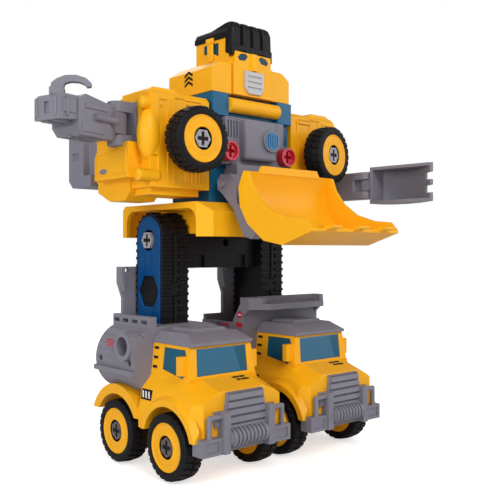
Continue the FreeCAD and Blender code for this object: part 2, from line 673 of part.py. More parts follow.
def lift_arms():
    outline = [(-12.2, 187.0), (-16.0, 190.8), (-25.0, 190.6), (-30.5, 186.0), (-32.5, 171.0),
               (-c.bucket_y - 6.0, c.bucket_z + 3.0), (-c.bucket_y - 7.0, c.bucket_z - 2.0),
               (-c.bucket_y - 3.0, c.bucket_z - 5.4), (-c.bucket_y + 4.4, c.bucket_z - 3.6),
               (-28.0, 168.0), (-17.2, 178.0), (-12.2, 181.0)]
    side = prism(outline, "x", c.lift_x - c.lift_width / 2, c.lift_x + c.lift_width / 2)
    tie = rod(-c.lift_x, -32.4, 168.0, 2.6, 2 * c.lift_x, (1, 0, 0))
    arms = both_sides(side).fuse(tie)
    gap = c.bucket_pin + c.running_gap
    arms = arms.cut(rod(-60, -c.lift_y, c.lift_z, gap, 120, (1, 0, 0)))
    blind = rod(-LIFT_BLIND, -c.bucket_y, c.bucket_z, gap, 2 * LIFT_BLIND, (1, 0, 0))
    return arms.cut(blind).removeSplitter()


def loader_bucket():
    half = c.bucket_half
    wall = c.bucket_wall
    back = [(-47.6, 190.0), (-43.2, 180.0), (-44.6, 168.0), (-51.5, 157.0), (-66.0, 146.4), (-82.0, 143.6),
            (-106.0, 151.4), (-106.0, 153.4), (-82.0, 146.6), (-67.0, 149.4), (-53.6, 159.0),
            (-47.2, 169.0), (-45.9, 180.0), (-50.0, 190.0)]
    shell = prism(back, "x", -half, half)
    cheek = [(-47.6, 190.0), (-43.2, 180.0), (-44.6, 168.0), (-51.5, 157.0), (-66.0, 146.4), (-82.0, 143.6),
             (-106.0, 151.4), (-106.0, 153.4), (-101.0, 158.4), (-88.0, 159.6), (-73.4, 164.0),
             (-62.0, 172.0), (-55.0, 181.0), (-51.5, 189.6)]
    cheeks = both_sides(prism(cheek, "x", half - wall, half))
    brow = prism(mirrored_outline([(28.0, 189.0), (25.0, 194.0)]), "y", -50.0, -47.6)
    teeth = []
    for k in range(3):
        at = -24.4 + 24.4 * k
        tooth = [(-100.0, 151.0), (-112.0, 153.6), (-112.0, 155.0), (-100.0, 154.4)]
        teeth.append(prism(tooth, "x", at - 4, at + 4))
    bucket = shell.fuse([cheeks, brow] + teeth)
    inner = c.lift_x - c.lift_width / 2
    lug_view = [(-c.bucket_y + 4.6, c.bucket_z - 3.6), (-c.bucket_y + 4.6, c.bucket_z + 4.2),
                (-48.0, 163.0), (-52.4, 158.4), (-66.0, 147.8), (-60.0, 146.6)]
    lugs = prism(lug_view, "x", inner - 4.4, inner - 0.4)
    pin = rod(inner - 4.4, -c.bucket_y, c.bucket_z, c.bucket_pin, LIFT_BLIND - 0.3 - inner + 4.4, (1, 0, 0))
    return bucket.fuse([both_sides(lugs), both_sides(pin)]).removeSplitter()


piece("lift_arms", lift_arms())
piece("loader_bucket", loader_bucket())


# ---------------------------------------------------------------- head

def head_parts():
    half = c.collar_half
    low = c.collar_low
    high = c.collar_high
    front_view = mirrored_outline([(half, low), (half, high - 5.5), (half - 7.5, high), (17.0, high)])
    side_view = [(-12.2, low), (-12.2, high - 1.5), (-10.5, high + 1), (31.0, high + 1), (36.0, high - 4.0),
                 (36.0, low)]
    collar = prism(front_view, "y", -13, 37).common(prism(side_view, "x", -half - 1, half + 1))
    face = box(-c.face_half, c.face_half, -c.face_front, 0, low, 276.0)
    skull = box(-c.face_half, c.face_half, -8.8, 28.0, high - 3, c.head_top)
    nose = prism([(-c.face_front, 264.0), (-c.face_front - 2.2, 264.0), (-c.face_front - 1.2, 276.0),
                  (-c.face_front, 276.0)], "x", -2.1, 2.1)
    shell = collar.fuse([face, skull, nose])
    grooves = both_sides(box(c.face_half, c.face_half + 1.0, -13, -9.5, low - 1, high + 1))
    shell = shell.cut(grooves)
    brow_cut = both_sides(box(c.face_half - 1.2, c.face_half + 1, -14, -8.8, 268.0, 277.0))
    shell = shell.cut(brow_cut)
    socket = rod(0, c.neck_y, low - 1, c.neck_radius + c.running_gap, 6.5, (0, 0, 1))
    shell = shell.cut(socket)
    eye = [(5.0, 273.6), (7.0, 275.4), (11.8, 274.6), (14.2, 272.2), (12.8, 270.0), (7.4, 270.6)]
    eye_hole = both_sides(prism(eye, "y", -c.face_front - 1, -c.face_front + 1.6))
    glass = both_sides(prism(eye, "y", -c.face_front + 0.4, -c.face_front + 1.6))
    window = [(3.0, 275.0), (3.0, 284.5), (9.0, 284.5), (9.0, 278.0)]
    side_hole = both_sides(prism(window, "x", c.face_half - 1.6, c.face_half + 1))
    side_glass = both_sides(prism(window, "x", c.face_half - 1.6, c.face_half - 0.4))
    rear_hole = box(-12, 12, 26.4, 29, 274.0, 285.0)
    rear_glass = box(-12, 12, 26.4, 27.6, 274.0, 285.0)
    shell = shell.cut([eye_hole, side_hole, rear_hole]).removeSplitter()
    panes = glass.Solids + side_glass.Solids + [rear_glass]
    return shell, Part.makeCompound(panes)


def cap():
    half = c.face_half + 0.8
    low = 276.0
    top = c.cap_top
    side_view = [(-11.6, low), (-11.6, top - 4.0), (-8.0, top), (-2.0, top), (29.0, top - 6.0),
                 (29.0, c.head_top), (-8.8, c.head_top), (-8.8, low)]
    front_view = mirrored_outline([(half, low), (half, top - 6.0), (half - 4.5, top + 1)])
    shape = prism(side_view, "x", -half, half).common(prism(front_view, "y", -13, 30))
    cheek = [(-11.6, low), (-11.6, c.head_top + 0.5), (28.0, c.head_top + 0.5), (28.0, 287.6),
             (-5.0, 286.4), (-5.0, low)]
    shape = shape.fuse(both_sides(prism(cheek, "x", c.face_half, half)))
    for x in (-9.2, 0.0, 9.2):
        shape = shape.cut(box(x - 0.8, x + 0.8, -14.0, -9.6, 280.0, top + 2))
    return shape.removeSplitter()


def mouth_guard():
    outline = mirrored_outline([(5.4, 248.0), (8.6, 252.0), (8.6, 263.6)])
    face = -c.face_front
    guard = prism(outline, "y", face - 1.5, face)
    for low in (251.6, 255.4, 259.2):
        guard = guard.cut(box(-6.4, 6.4, face - 2, face - 0.6, low, low + 1.3))
    return guard


shell_shape, pane_shape = head_parts()
piece("head_shell", shell_shape)
piece("head_windows", pane_shape)
piece("head_cap", cap())
piece("mouth_guard", mouth_guard())


# ---------------------------------------------------------------- arms

ARM_INNER = c.torso_half + c.arm_gap
ARM_OUTER = ARM_INNER + c.arm_width
WHEEL_X = ARM_INNER + c.wheel_out
HINGE_X = ARM_INNER + c.hinge_out
BOSS_END = -c.arm_front - 6.6
WHEEL_OUT = BOSS_END - c.side_gap - c.tyre_width


def arm_body(toe, start):
    """The arm on the +X side; its flank begins at the given depth, and its mirror image is the other arm."""
    inner = ARM_INNER
    outer = ARM_OUTER
    front = -c.arm_front
    slab_view = [(front, 180.0), (front, 238.0), (front + 3, 241.0), (20.0, 241.0), (20.0, 180.0)]
    slab = prism(slab_view, "x", inner, outer)
    rear_view = [(20.0, 186.0), (20.0, 239.0), (46.0, 236.0), (52.0, 230.0), (52.0, 186.0)]
    rear = prism(rear_view, "x", inner + 21.8, outer)
    foot = box(inner + 5.8, outer - 3.0, -8.0, 16.0, 175.5, 180.0)
    skid = prism([(8.0, 186.0), (8.0, 178.0), (14.0, 172.5), (32.0, 172.5), (47.0, 179.0), (47.0, 186.0)],
                 "x", outer - 21.0, outer + 2.0)
    flank_view = [(start, 186.0), (start, 208.5), (35.0, 205.0), (38.0, 201.0), (38.0, 186.0)]
    flank = prism(flank_view, "x", outer, outer + 10.0)
    bump_view = [(outer - 25.0, 241.0), (outer - 21.0, 243.4), (outer - 5.0, 243.4), (outer - 1.0, 241.0)]
    bump = prism(bump_view, "y", -8.0, 14.0)
    ribs = [box(inner + at, inner + at + 1.6, front - 1.0, front, 184.0, 196.0)
            for at in (7.8, 11.0, 14.2, 17.4)]
    ribs += [box(inner + 7.8, inner + 19.8, front - 1.0, front, 233.5, 235.5)]
    pads = [box(outer - 5.5, outer, front - 1.4, front, 200.0, 236.0),
            box(outer, outer + 1.4, -8.0, 6.0, 211.0, 236.0)]
    boss = rod(WHEEL_X, front + 1.0, c.wheel_z, 8.0, -BOSS_END - c.arm_front + 1.0, (0, -1, 0))
    boss = turned(boss, (WHEEL_X, front, c.wheel_z), (0, 0, 1), toe)
    whole = slab.fuse([rear, foot, skid, flank, bump, boss] + ribs + pads)
    seat = rod(WHEEL_X, front + 10.0, c.wheel_z, c.screw_shank, 40, (0, -1, 0))
    seat = turned(seat, (WHEEL_X, front, c.wheel_z), (0, 0, 1), toe)
    shaft = rod(0, c.arm_y, c.arm_height, c.arm_shaft + c.running_gap, c.torso_half + 13.4, (1, 0, 0))
    return whole.cut([seat, shaft]).removeSplitter()


def arm_bumper():
    outer = ARM_OUTER
    side_view = [(52.0, 184.0), (77.0, 184.0), (82.0, 189.0), (82.0, 219.0), (52.0, 219.0)]
    block = prism(side_view, "x", outer - 22.0, outer + 5.0)
    block = block.cut(box(outer, outer + 6.0, 51.0, 62.0, 192.0, 220.0))
    return block.cut(box(outer + 3.4, outer + 6.0, 68.0, 77.0, 203.0, 208.0)).removeSplitter()


def arm_screw(toe):
    screw = turned(wheel_screw(-WHEEL_OUT - SCREW_BACK - 6.0), (0, 0, 0), (0, 0, 1), -90)
    screw = moved(screw, WHEEL_X, WHEEL_OUT, c.wheel_z)
    return turned(screw, (WHEEL_X, -c.arm_front, c.wheel_z), (0, 0, 1), toe)


def clevis(y, low, high, ear):
    """A forked bracket on the arm's outer side with an upright hinge pin."""
    outer = ARM_OUTER
    base = box(outer, outer + 3.0, y - 10, y + 10, low, high)
    fork = []
    for bottom, top in ((low, low + ear), (high - ear, high)):
        tab = box(outer, HINGE_X, y - 6.4, y + 6.4, bottom, top)
        tab = tab.fuse(rod(HINGE_X, y, bottom, 6.4, top - bottom, (0, 0, 1)))
        fork.append(tab)
    pin = rod(HINGE_X, y, low, c.pin_radius, high - low, (0, 0, 1))
    bracket = base.fuse(fork).cut(pin).removeSplitter()
    return bracket, pin


def tongue(y, low, high, reach):
    """The end of a boom that turns on the hinge pin, pointing along +X."""
    block = box(HINGE_X, HINGE_X + reach, y - 6.0, y + 6.0, low, high)
    block = block.fuse(rod(HINGE_X, y, low, 6.0, high - low, (0, 0, 1)))
    return block


CRANE_LOW = 206.0
CRANE_HIGH = 234.0
CRANE_EAR = 7.0


def crane():
    """Boom and hook, made along +X from the hinge and turned to rest."""
    y = c.boom_hinge_y
    x = HINGE_X
    low = CRANE_LOW + CRANE_EAR + 0.3
    high = CRANE_HIGH - CRANE_EAR - 0.3
    arm = tongue(y, low, high, 12.0)
    wedge_view = [(x + 9.5, 211.0), (x + 14.0, 207.5), (x + 40.0, 207.5), (x + 44.0, 212.0),
                  (x + 44.0, 228.5), (x + 38.0, 231.5), (x + 9.5, 227.0)]
    wedge = prism(wedge_view, "y", y - 11.0, y + 11.0)
    plan = [(x + 9.4, y - 7.0), (x + 18.0, y - 11.0), (x + 50.0, y - 11.0), (x + 50.0, y + 11.0),
            (x + 18.0, y + 11.0), (x + 9.4, y + 7.0)]
    wedge = wedge.common(prism(plan, "z", 200, 250))
    head_view = [(x + 43.0, 216.0), (x + 58.0, 214.5), (x + 58.0, 227.0), (x + 55.0, 229.5),
                 (x + 43.0, 229.5)]
    head = prism(head_view, "y", y - 10.0, y + 10.0)
    head = head.cut(box(x + 56.6, x + 59.0, y - 2.0, y + 2.0, 218.0, 225.0))
    ram = [rod(x + 13.0, y + s * 11.6, 219.0, 2.0, 18.0, (1, 0, 0)) for s in (-1, 1)]
    boom = arm.fuse([wedge, head] + ram)
    stub = c.pin_radius + c.running_gap
    boom = boom.cut(rod(x, y, low - 1, stub, high - low + 2, (0, 0, 1)))
    hook_x = x + 50.0
    boom = boom.cut(rod(hook_x, y, 223.0, 2.5 + c.running_gap, 8.0, (0, 0, 1)))
    post = rod(hook_x, y, 223.3, 2.5, 7.0, (0, 0, 1))
    block = box(hook_x - 4.0, hook_x + 4.0, y - 4.2, y + 4.2, 229.8, 234.0)
    claw = [(y + 3.6, 233.0), (y + 3.2, 236.6), (y, 239.2), (y - 5.0, 241.2), (y - 11.0, 241.4),
            (y - 16.5, 239.8), (y - 19.5, 237.0), (y - 19.5, 234.9), (y - 17.0, 234.5), (y - 15.8, 236.0),
            (y - 12.5, 237.3), (y - 8.0, 237.5), (y - 4.6, 236.4), (y - 3.4, 233.0)]
    hook = post.fuse([block, prism(claw, "x", hook_x - 2.5, hook_x + 2.5)]).removeSplitter()
    hook = turned(hook, (hook_x, y, 0), (0, 0, 1), -c.hook_turn)
    boom = turned(boom.removeSplitter(), (x, y, 0), (0, 0, 1), -c.boom_yaw)
    hook = turned(hook, (x, y, 0), (0, 0, 1), -c.boom_yaw)
    return flipped(boom), flipped(hook)


def digger():
    """Stick and bucket, reaching forward from the hinge; the bucket opens towards the robot."""
    x = HINGE_X
    y = c.stick_hinge_y
    low = c.stick_low
    high = c.stick_high
    end = y - c.stick_length
    half = 6.3
    stick = box(x - half, x + half, end, y, low, high)
    for at in (end, y):
        stick = stick.fuse(rod(x, at, low, half, high - low, (0, 0, 1)))
    stick = stick.cut(rod(x, y, low - 1, c.pin_radius + c.running_gap, high - low + 2, (0, 0, 1)))
    middle = (low + high) / 2
    stick = stick.cut(box(x - 9, x + 9, end - 9, end + 7.5, middle - 4.3, middle + 4.3))
    stick = stick.fuse(rod(x, end, low, c.bucket_pin, high - low, (0, 0, 1))).removeSplitter()
    rear = end - 7.2
    outer = [(x - 5.0, rear), (x + 9.0, rear), (x + 16.0, rear - 6.0), (x + 17.5, rear - 17.0),
             (x + 12.5, rear - 33.0), (x + 1.5, rear - 50.5), (x - 1.0, rear - 49.5)]
    inner = [(x - 6.0, rear - 2.4), (x + 8.0, rear - 2.4), (x + 13.8, rear - 7.4), (x + 15.0, rear - 17.0),
             (x + 10.2, rear - 31.8), (x - 1.2, rear - 49.8), (x - 6.0, rear - 49.8)]
    bucket = prism(outer, "z", 175.0, 202.0)
    bucket = bucket.cut(prism(inner, "z", 177.2, 199.8))
    for bottom in (181.0, 190.2):
        bucket = bucket.cut(box(x - 6.0, x + 30, rear - 52, rear - 42.5, bottom, bottom + 5.4))
    lug = box(x - 4.4, x + 4.4, rear - 1, end, middle - 4.0, middle + 4.0)
    lug = lug.fuse(rod(x, end, middle - 4.0, 4.4, 8.0, (0, 0, 1)))
    lug = lug.cut(rod(x, end, 150, c.bucket_pin + c.running_gap, 80, (0, 0, 1)))
    return stick, bucket.fuse(lug).removeSplitter()


crane_bracket, crane_pin = clevis(c.boom_hinge_y, CRANE_LOW, CRANE_HIGH, CRANE_EAR)
digger_bracket, digger_pin = clevis(c.stick_hinge_y, c.stick_low - 5.8, c.stick_high + 5.8, 5.5)

right_body = arm_body(0, c.right_flank).cut(crane_bracket.fuse(crane_pin))
left_body = arm_body(c.left_toe, c.left_flank).cut(digger_bracket.fuse(digger_pin))
piece("right_arm_body", flipped(right_body))
piece("left_arm_body", left_body)
right_fittings = [arm_bumper(), crane_bracket, crane_pin, arm_screw(0)]
left_fittings = [arm_bumper(), digger_bracket, digger_pin, arm_screw(c.left_toe)]
piece("right_arm_fittings", Part.makeCompound([flipped(shape) for shape in right_fittings]))
piece("left_arm_fittings", Part.makeCompound(left_fittings))

boom_shape, hook_shape = crane()
piece("crane_boom", boom_shape)
piece("crane_hook", hook_shape)
stick_shape, digger_bucket_shape = digger()
piece("digger_stick", stick_shape)
piece("digger_bucket", digger_bucket_shape)

wheel("right_shoulder", (-WHEEL_X, WHEEL_OUT, c.wheel_z), (0, -1, 0))
toe_angle = math.radians(c.left_toe)
toe_reach = -WHEEL_OUT - c.arm_front
wheel("left_shoulder",
      (WHEEL_X + toe_reach * math.sin(toe_angle), -c.arm_front - toe_reach * math.cos(toe_angle), c.wheel_z),
      (math.sin(toe_angle), -math.cos(toe_angle), 0))


# ---------------------------------------------------------------- check and write

doc.recompute()
for item in doc.Objects:
    faults = [state for state in item.State if state in ("Invalid", "Error")]
    if faults:
        raise RuntimeError("%s is %s" % (item.Name, faults))
for node in nodes:
    if node.Shape.isNull() or not node.Shape.isValid():
        raise RuntimeError("%s has a bad shape" % node.Label)
    node.Shape.exportStep("parts/%s.step" % node.Label)
print("wrote %d sub-parts" % len(nodes))
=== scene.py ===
import json
import math

import bmesh
import bpy
from mathutils import Matrix, Vector

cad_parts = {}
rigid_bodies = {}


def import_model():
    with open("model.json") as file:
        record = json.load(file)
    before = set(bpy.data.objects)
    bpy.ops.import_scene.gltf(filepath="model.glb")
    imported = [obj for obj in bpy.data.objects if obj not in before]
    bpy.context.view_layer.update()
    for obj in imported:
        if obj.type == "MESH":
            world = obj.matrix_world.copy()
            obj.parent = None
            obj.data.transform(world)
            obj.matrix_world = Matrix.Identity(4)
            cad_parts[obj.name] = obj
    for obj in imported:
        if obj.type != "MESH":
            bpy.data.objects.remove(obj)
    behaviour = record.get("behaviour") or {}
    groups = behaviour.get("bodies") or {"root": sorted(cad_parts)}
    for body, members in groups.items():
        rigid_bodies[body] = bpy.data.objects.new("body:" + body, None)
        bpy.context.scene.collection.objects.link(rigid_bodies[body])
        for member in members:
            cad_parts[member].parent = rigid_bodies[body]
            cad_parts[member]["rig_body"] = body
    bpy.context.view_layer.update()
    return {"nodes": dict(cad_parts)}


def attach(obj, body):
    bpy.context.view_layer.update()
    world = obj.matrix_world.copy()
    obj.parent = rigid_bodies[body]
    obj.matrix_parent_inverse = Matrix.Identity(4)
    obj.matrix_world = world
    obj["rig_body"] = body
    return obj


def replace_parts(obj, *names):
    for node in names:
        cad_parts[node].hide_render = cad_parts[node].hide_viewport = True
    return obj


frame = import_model()


# ---------------------------------------------------------------- cabs and chassis
# Two alike trucks: a one-piece cab shell on a chassis with rear fenders, injection
# moulded in ABS and left unpainted. ABS off a satin mould gives a soft, broad shine.

def add(tree, kind, **values):
    """A shader node: small letters name a setting, i0 means input 0, and other words name inputs.

    An input takes a value or another node's output.
    """
    node = tree.nodes.new(kind)
    for name, value in values.items():
        numbered = name[1:].isdigit()
        if name.islower() and not numbered:
            setattr(node, name, value)
            continue
        key = int(name[1:]) if numbered else name.replace("_", " ")
        if isinstance(value, bpy.types.NodeSocket):
            tree.links.new(value, node.inputs[key])
        else:
            node.inputs[key].default_value = value
    return node


def srgb(code):
    """A linear RGBA colour from an sRGB hex code."""
    parts = [int(code[k:k + 2], 16) / 255 for k in (0, 2, 4)]
    return [p / 12.92 if p <= 0.04045 else ((p + 0.055) / 1.055) ** 2.4 for p in parts] + [1.0]


def plastic(name, low, high, rough, grain=0.03, coat=0.0, shine=0.5):
    """Moulded plastic in patches of two close tones, with a grain of that depth in millimetres."""
    patch_mm = 25.0
    grain_mm = 0.5     # a real satin mould's grain is nearer 0.05 mm, too fine to show
    material = bpy.data.materials.new(name)
    material.use_nodes = True
    tree = material.node_tree
    shader = tree.nodes["Principled BSDF"]
    place = add(tree, "ShaderNodeTexCoord").outputs["Object"]
    patch = add(tree, "ShaderNodeTexNoise", Vector=place, Scale=1000 / patch_mm, Detail=3.0)
    # a colour mix takes its two colours at inputs 6 and 7 and gives the result at output 2
    tone = add(tree, "ShaderNodeMix", data_type="RGBA", i0=patch.outputs["Fac"], i6=srgb(low), i7=srgb(high))
    tree.links.new(tone.outputs[2], shader.inputs["Base Color"])
    wear = add(tree, "ShaderNodeMapRange", Value=patch.outputs["Fac"],
               To_Min=rough - 0.05, To_Max=rough + 0.07)
    tree.links.new(wear.outputs["Result"], shader.inputs["Roughness"])
    fine = add(tree, "ShaderNodeTexNoise", Vector=place, Scale=1000 / grain_mm, Detail=1.0)
    bump = add(tree, "ShaderNodeBump", Height=fine.outputs["Fac"], Strength=0.35, Distance=grain / 1000)
    tree.links.new(bump.outputs["Normal"], shader.inputs["Normal"])
    shader.inputs["Specular IOR Level"].default_value = shine
    shader.inputs["Coat Weight"].default_value = coat
    shader.inputs["Coat Roughness"].default_value = 0.2
    return material


def soften(obj, width):
    """Rounds the edges sharper than 32 degrees by a width in millimetres, and shades the result smoothly."""
    obj.data.polygons.foreach_set("use_smooth", [True] * len(obj.data.polygons))
    if width:
        bevel = obj.modifiers.new("edges", "BEVEL")
        bevel.width = width / 1000
        bevel.segments = 2
        bevel.limit_method = "ANGLE"
        bevel.angle_limit = math.radians(32)
        bevel.harden_normals = True
    normals = obj.modifiers.new("normals", "WEIGHTED_NORMAL")
    normals.keep_sharp = True


def dress(node, material, width):
    """Shows a CAD solid with rounded edges in place of the sharp one."""
    weld, flat = 0.00001, math.radians(1.0)
    source = frame["nodes"][node]
    shape = bmesh.new()
    shape.from_mesh(source.data)
    bmesh.ops.remove_doubles(shape, verts=shape.verts, dist=weld)
    bmesh.ops.dissolve_limit(shape, angle_limit=flat, verts=shape.verts, edges=shape.edges)
    mesh = bpy.data.meshes.new(node + "_shown")
    shape.to_mesh(mesh)
    shape.free()
    mesh.materials.append(material)
    obj = bpy.data.objects.new(node + "_shown", mesh)
    bpy.context.scene.collection.objects.link(obj)
    soften(obj, width)
    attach(obj, source["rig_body"])
    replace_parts(obj, node)


# the colour goes right through the plastic, so the edges are as yellow as the faces
yellow = plastic("yellow_abs", "F2A90B", "F9B511", 0.42, shine=0.30)
for truck in ("tanker", "dumper"):
    dress(truck + "_cab", yellow, 1.0)
    dress(truck + "_chassis", yellow, 0.5)


# ---------------------------------------------------------------- cab markings
# Printed marks on the yellow shell: three dashes on each rear post, a striped plate at
# the waist and two broken bars on the bonnet. Each is a raised piece as thin as ink.

def prism(shape, points, axis, start, end):
    """A polygon in the plane square to an axis, pushed from start to end; millimetres."""
    def corner(a, b, t):
        return {"x": (t, a, b), "y": (a, t, b), "z": (a, b, t)}[axis]
    first = [shape.verts.new(corner(a, b, start)) for a, b in points]
    second = [shape.verts.new(corner(a, b, end)) for a, b in points]
    shape.faces.new(first)
    shape.faces.new(list(reversed(second)))
    for k in range(len(points)):
        n = (k + 1) % len(points)
        shape.faces.new((first[k], second[k], second[n], first[n]))


def block(shape, x0, x1, y0, y1, z0, z1):
    prism(shape, [(y0, z0), (y1, z0), (y1, z1), (y0, z1)], "x", x0, x1)


def hull_block(shape, corners):
    """A six-sided block from eight corners: four of one end, then the four opposite."""
    v = [shape.verts.new(p) for p in corners]
    for face in ((0, 1, 2, 3), (7, 6, 5, 4), (0, 4, 5, 1), (1, 5, 6, 2), (2, 6, 7, 3), (3, 7, 4, 0)):
        shape.faces.new([v[k] for k in face])


def finished(name, shape, material):
    """A mesh in metres from a bmesh drawn in millimetres."""
    bmesh.ops.recalc_face_normals(shape, faces=shape.faces)
    bmesh.ops.scale(shape, vec=(0.001, 0.001, 0.001), verts=shape.verts)
    mesh = bpy.data.meshes.new(name)
    shape.to_mesh(mesh)
    shape.free()
    mesh.materials.append(material)
    return mesh


def put(name, mesh, body, width, place=None):
    """An object showing the mesh, at a place in metres, riding on a body."""
    obj = bpy.data.objects.new(name, mesh)
    bpy.context.scene.collection.objects.link(obj)
    if place is not None:
        obj.matrix_world = place
    soften(obj, width)
    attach(obj, body)
    return obj


def make(name, shape, material, body, width):
    """Turns a bmesh drawn in millimetres into a piece riding on a body."""
    return put(name, finished(name, shape, material), body, width)


# printing ink lies flat and dull beside the shell
ink = plastic("black_ink", "151417", "1D1C20", 0.5, shine=0.2)
white_ink = plastic("white_ink", "E4E2DE", "EDEBE8", 0.5)
truck_middle = {"tanker": -45.5, "dumper": 45.5}
truck_body = {"tanker": "right_leg", "dumper": "left_leg"}
sunk, proud = 0.5, 0.22     # a mark starts inside the shell and ends just outside it
for truck, centre in truck_middle.items():
    dark = bmesh.new()
    pale_bars = bmesh.new()
    for way in (-1, 1):
        for low in (65.0, 71.0, 77.0):
            high = low + 1.7
            # the rear post stands 27.2 out at the waist, 61 up, and leans inwards above it
            post = 27.2 - 0.125 * (low - 61.0)
            dash = [(post - sunk, low), (post + proud, low), (post + 0.02, high), (post - sunk, high)]
            prism(dark, [(centre + way * x, z) for x, z in dash], "y", -1.0, 3.6)
        plate = [(34.9, 46.0), (35.85, 46.0), (34.45, 52.4), (33.5, 52.4)]
        prism(dark, [(centre + way * x, z) for x, z in plate], "y", -7.0, 4.0)
        for k in range(3):
            y = -5.6 + 3.2 * k
            low, high = 47.2, 51.2
            face = [(35.72, y, low), (35.72, y + 1.3, low), (34.85, y + 2.6, high), (34.85, y + 1.3, high)]
            behind = [(x - 0.4, y, z) for x, y, z in face]
            hull_block(pale_bars, [(centre + way * x, y, z) for x, y, z in face + behind])
    for y, spans in ((-38.4, ((4.0, 9.0), (9.8, 14.0))), (-41.6, ((5.0, 8.0), (8.8, 15.0)))):
        # the bonnet is 61.7 up at -35.2 and falls forwards from there
        high = 61.7 + 0.32 * (y + 35.2)
        bar = [(y, high - 0.4), (y, high + proud), (y - 1.7, high - 0.32), (y - 1.7, high - 0.95)]
        for x0, x1 in spans:
            prism(dark, bar, "x", centre + x0, centre + x1)
    make(truck + "_cab_marks", dark, ink, truck_body[truck], 0.0)
    make(truck + "_plate_bars", pale_bars, white_ink, truck_body[truck], 0.0)


# ---------------------------------------------------------------- windows
# Opaque blue ABS inserts with a glossy face. The windscreens carry a painted reflection, a lighter
# blue that ends on a slanted line near the truck's left-hand post.

def window_material(name, edge):
    """Blue plastic under a clear coat, which gives it a hard highlight as glass has.

    Faces looking forward are painted lighter as a reflection, up to a slanted edge, given in metres along X.
    """
    slant, forward = 0.30, -0.5
    material = plastic(name, "084D66", "0D5B78", 0.22, coat=0.35)
    tree = material.node_tree
    shader = tree.nodes["Principled BSDF"]
    plain = shader.inputs["Base Color"].links[0].from_socket
    place = add(tree, "ShaderNodeSeparateXYZ", Vector=add(tree, "ShaderNodeTexCoord").outputs["Object"])
    facing = add(tree, "ShaderNodeSeparateXYZ", Vector=add(tree, "ShaderNodeNewGeometry").outputs["Normal"])
    lean = add(tree, "ShaderNodeMath", operation="MULTIPLY", i0=place.outputs["Z"], i1=slant)
    along = add(tree, "ShaderNodeMath", operation="ADD", i0=place.outputs["X"], i1=lean.outputs[0])
    side = add(tree, "ShaderNodeMath", operation="LESS_THAN", i0=along.outputs[0], i1=edge)
    front = add(tree, "ShaderNodeMath", operation="LESS_THAN", i0=facing.outputs["Y"], i1=forward)
    both = add(tree, "ShaderNodeMath", operation="MULTIPLY", i0=side.outputs[0], i1=front.outputs[0])
    # painted reflection: forward faces on one side of the slanted line take a lighter blue
    painted_reflection = add(tree, "ShaderNodeMix", data_type="RGBA", i0=both.outputs[0], i6=plain, i7=srgb("2C6788"))
    tree.links.new(painted_reflection.outputs[2], shader.inputs["Base Color"])
    return material


for truck, edge in (("tanker", -0.0115), ("dumper", 0.0795)):
    dress(truck + "_windows", window_material(truck + "_window_blue", edge), 0.2)


# ---------------------------------------------------------------- roofs and bumpers
# Grey ABS caps and front ends, clipped to the cab. The bumper piece carries the grille,
# the ribbed winch drum between its uprights, and the tubes of the guard.

# a cool grey, slightly rougher than the yellow, so that its edges shine less
grey = plastic("grey_abs", "777580", "82808B", 0.46, shine=0.3)
for truck in ("tanker", "dumper"):
    dress(truck + "_roof", grey, 1.3)
    dress(truck + "_bumper", grey, 0.5)
for truck, centre in truck_middle.items():
    slats = bmesh.new()
    for low in (32.4, 36.9, 41.5, 46.1, 50.7):
        high = low + 3.6
        # the grille is 34.4 wide at its foot, 32 up, and 27.6 wide at its top, 23.5 higher
        half = 17.2 - 3.4 * (high - 32.0) / 23.5
        slat = [(-56.8, low), (-58.3, low + 0.5), (-57.4, high), (-56.8, high)]
        prism(slats, slat, "x", centre - half, centre + half)
    make(truck + "_grille_slats", slats, grey, truck_body[truck], 0.25)


# ---------------------------------------------------------------- wheels
# Each of the ten is a soft moulded tyre with two staggered rows of tread blocks, pressed
# on a yellow disc with stepped rings, six small marks and a recess for the screw, lined in black as painted
# shade.

def lathe(shape, profile, segments):
    """Turns a closed (x, radius) profile about X; adds it to the bmesh."""
    rings = []
    for k in range(segments):
        a = 2 * math.pi * k / segments
        rings.append([shape.verts.new((x, r * math.cos(a), r * math.sin(a))) for x, r in profile])
    for k in range(segments):
        here, there = rings[k], rings[(k + 1) % segments]
        for j in range(len(profile)):
            n = (j + 1) % len(profile)
            shape.faces.new((here[j], here[n], there[n], there[j]))


def tyre_mesh(material):
    """A tyre 14 mm wide whose outer face looks along +X, with 26 tread blocks in each row."""
    shape = bmesh.new()
    wall = [(-0.9, 15.0), (-0.2, 15.1), (0.1, 16.0), (0.1, 17.8), (-0.4, 19.2), (-1.4, 19.9)]
    lathe(shape, wall + [(-14.0 - x, r) for x, r in reversed(wall)], 96)
    raised_line = [(-0.3, 16.6), (0.15, 16.8), (0.15, 17.2), (-0.3, 17.4)]
    lathe(shape, raised_line, 96)
    count, tall = 26, 1.7
    for k in range(count):
        for row, outer, inner, skew in ((0, -0.5, -6.5, -0.035), (1, -13.5, -7.5, 0.035)):
            middle = 2 * math.pi * (k + 0.5 * row) / count
            corners = []
            for x, base, turn in ((outer, 18.6, 0.0), (inner, 19.2, skew)):
                for r, half, ways in ((base, 0.100, (-1, 1)), (base + tall, 0.086, (1, -1))):
                    for way in ways:
                        a = middle + turn + way * half
                        corners.append((x, r * math.cos(a), r * math.sin(a)))
            hull_block(shape, corners)
    return finished("tyre", shape, material)


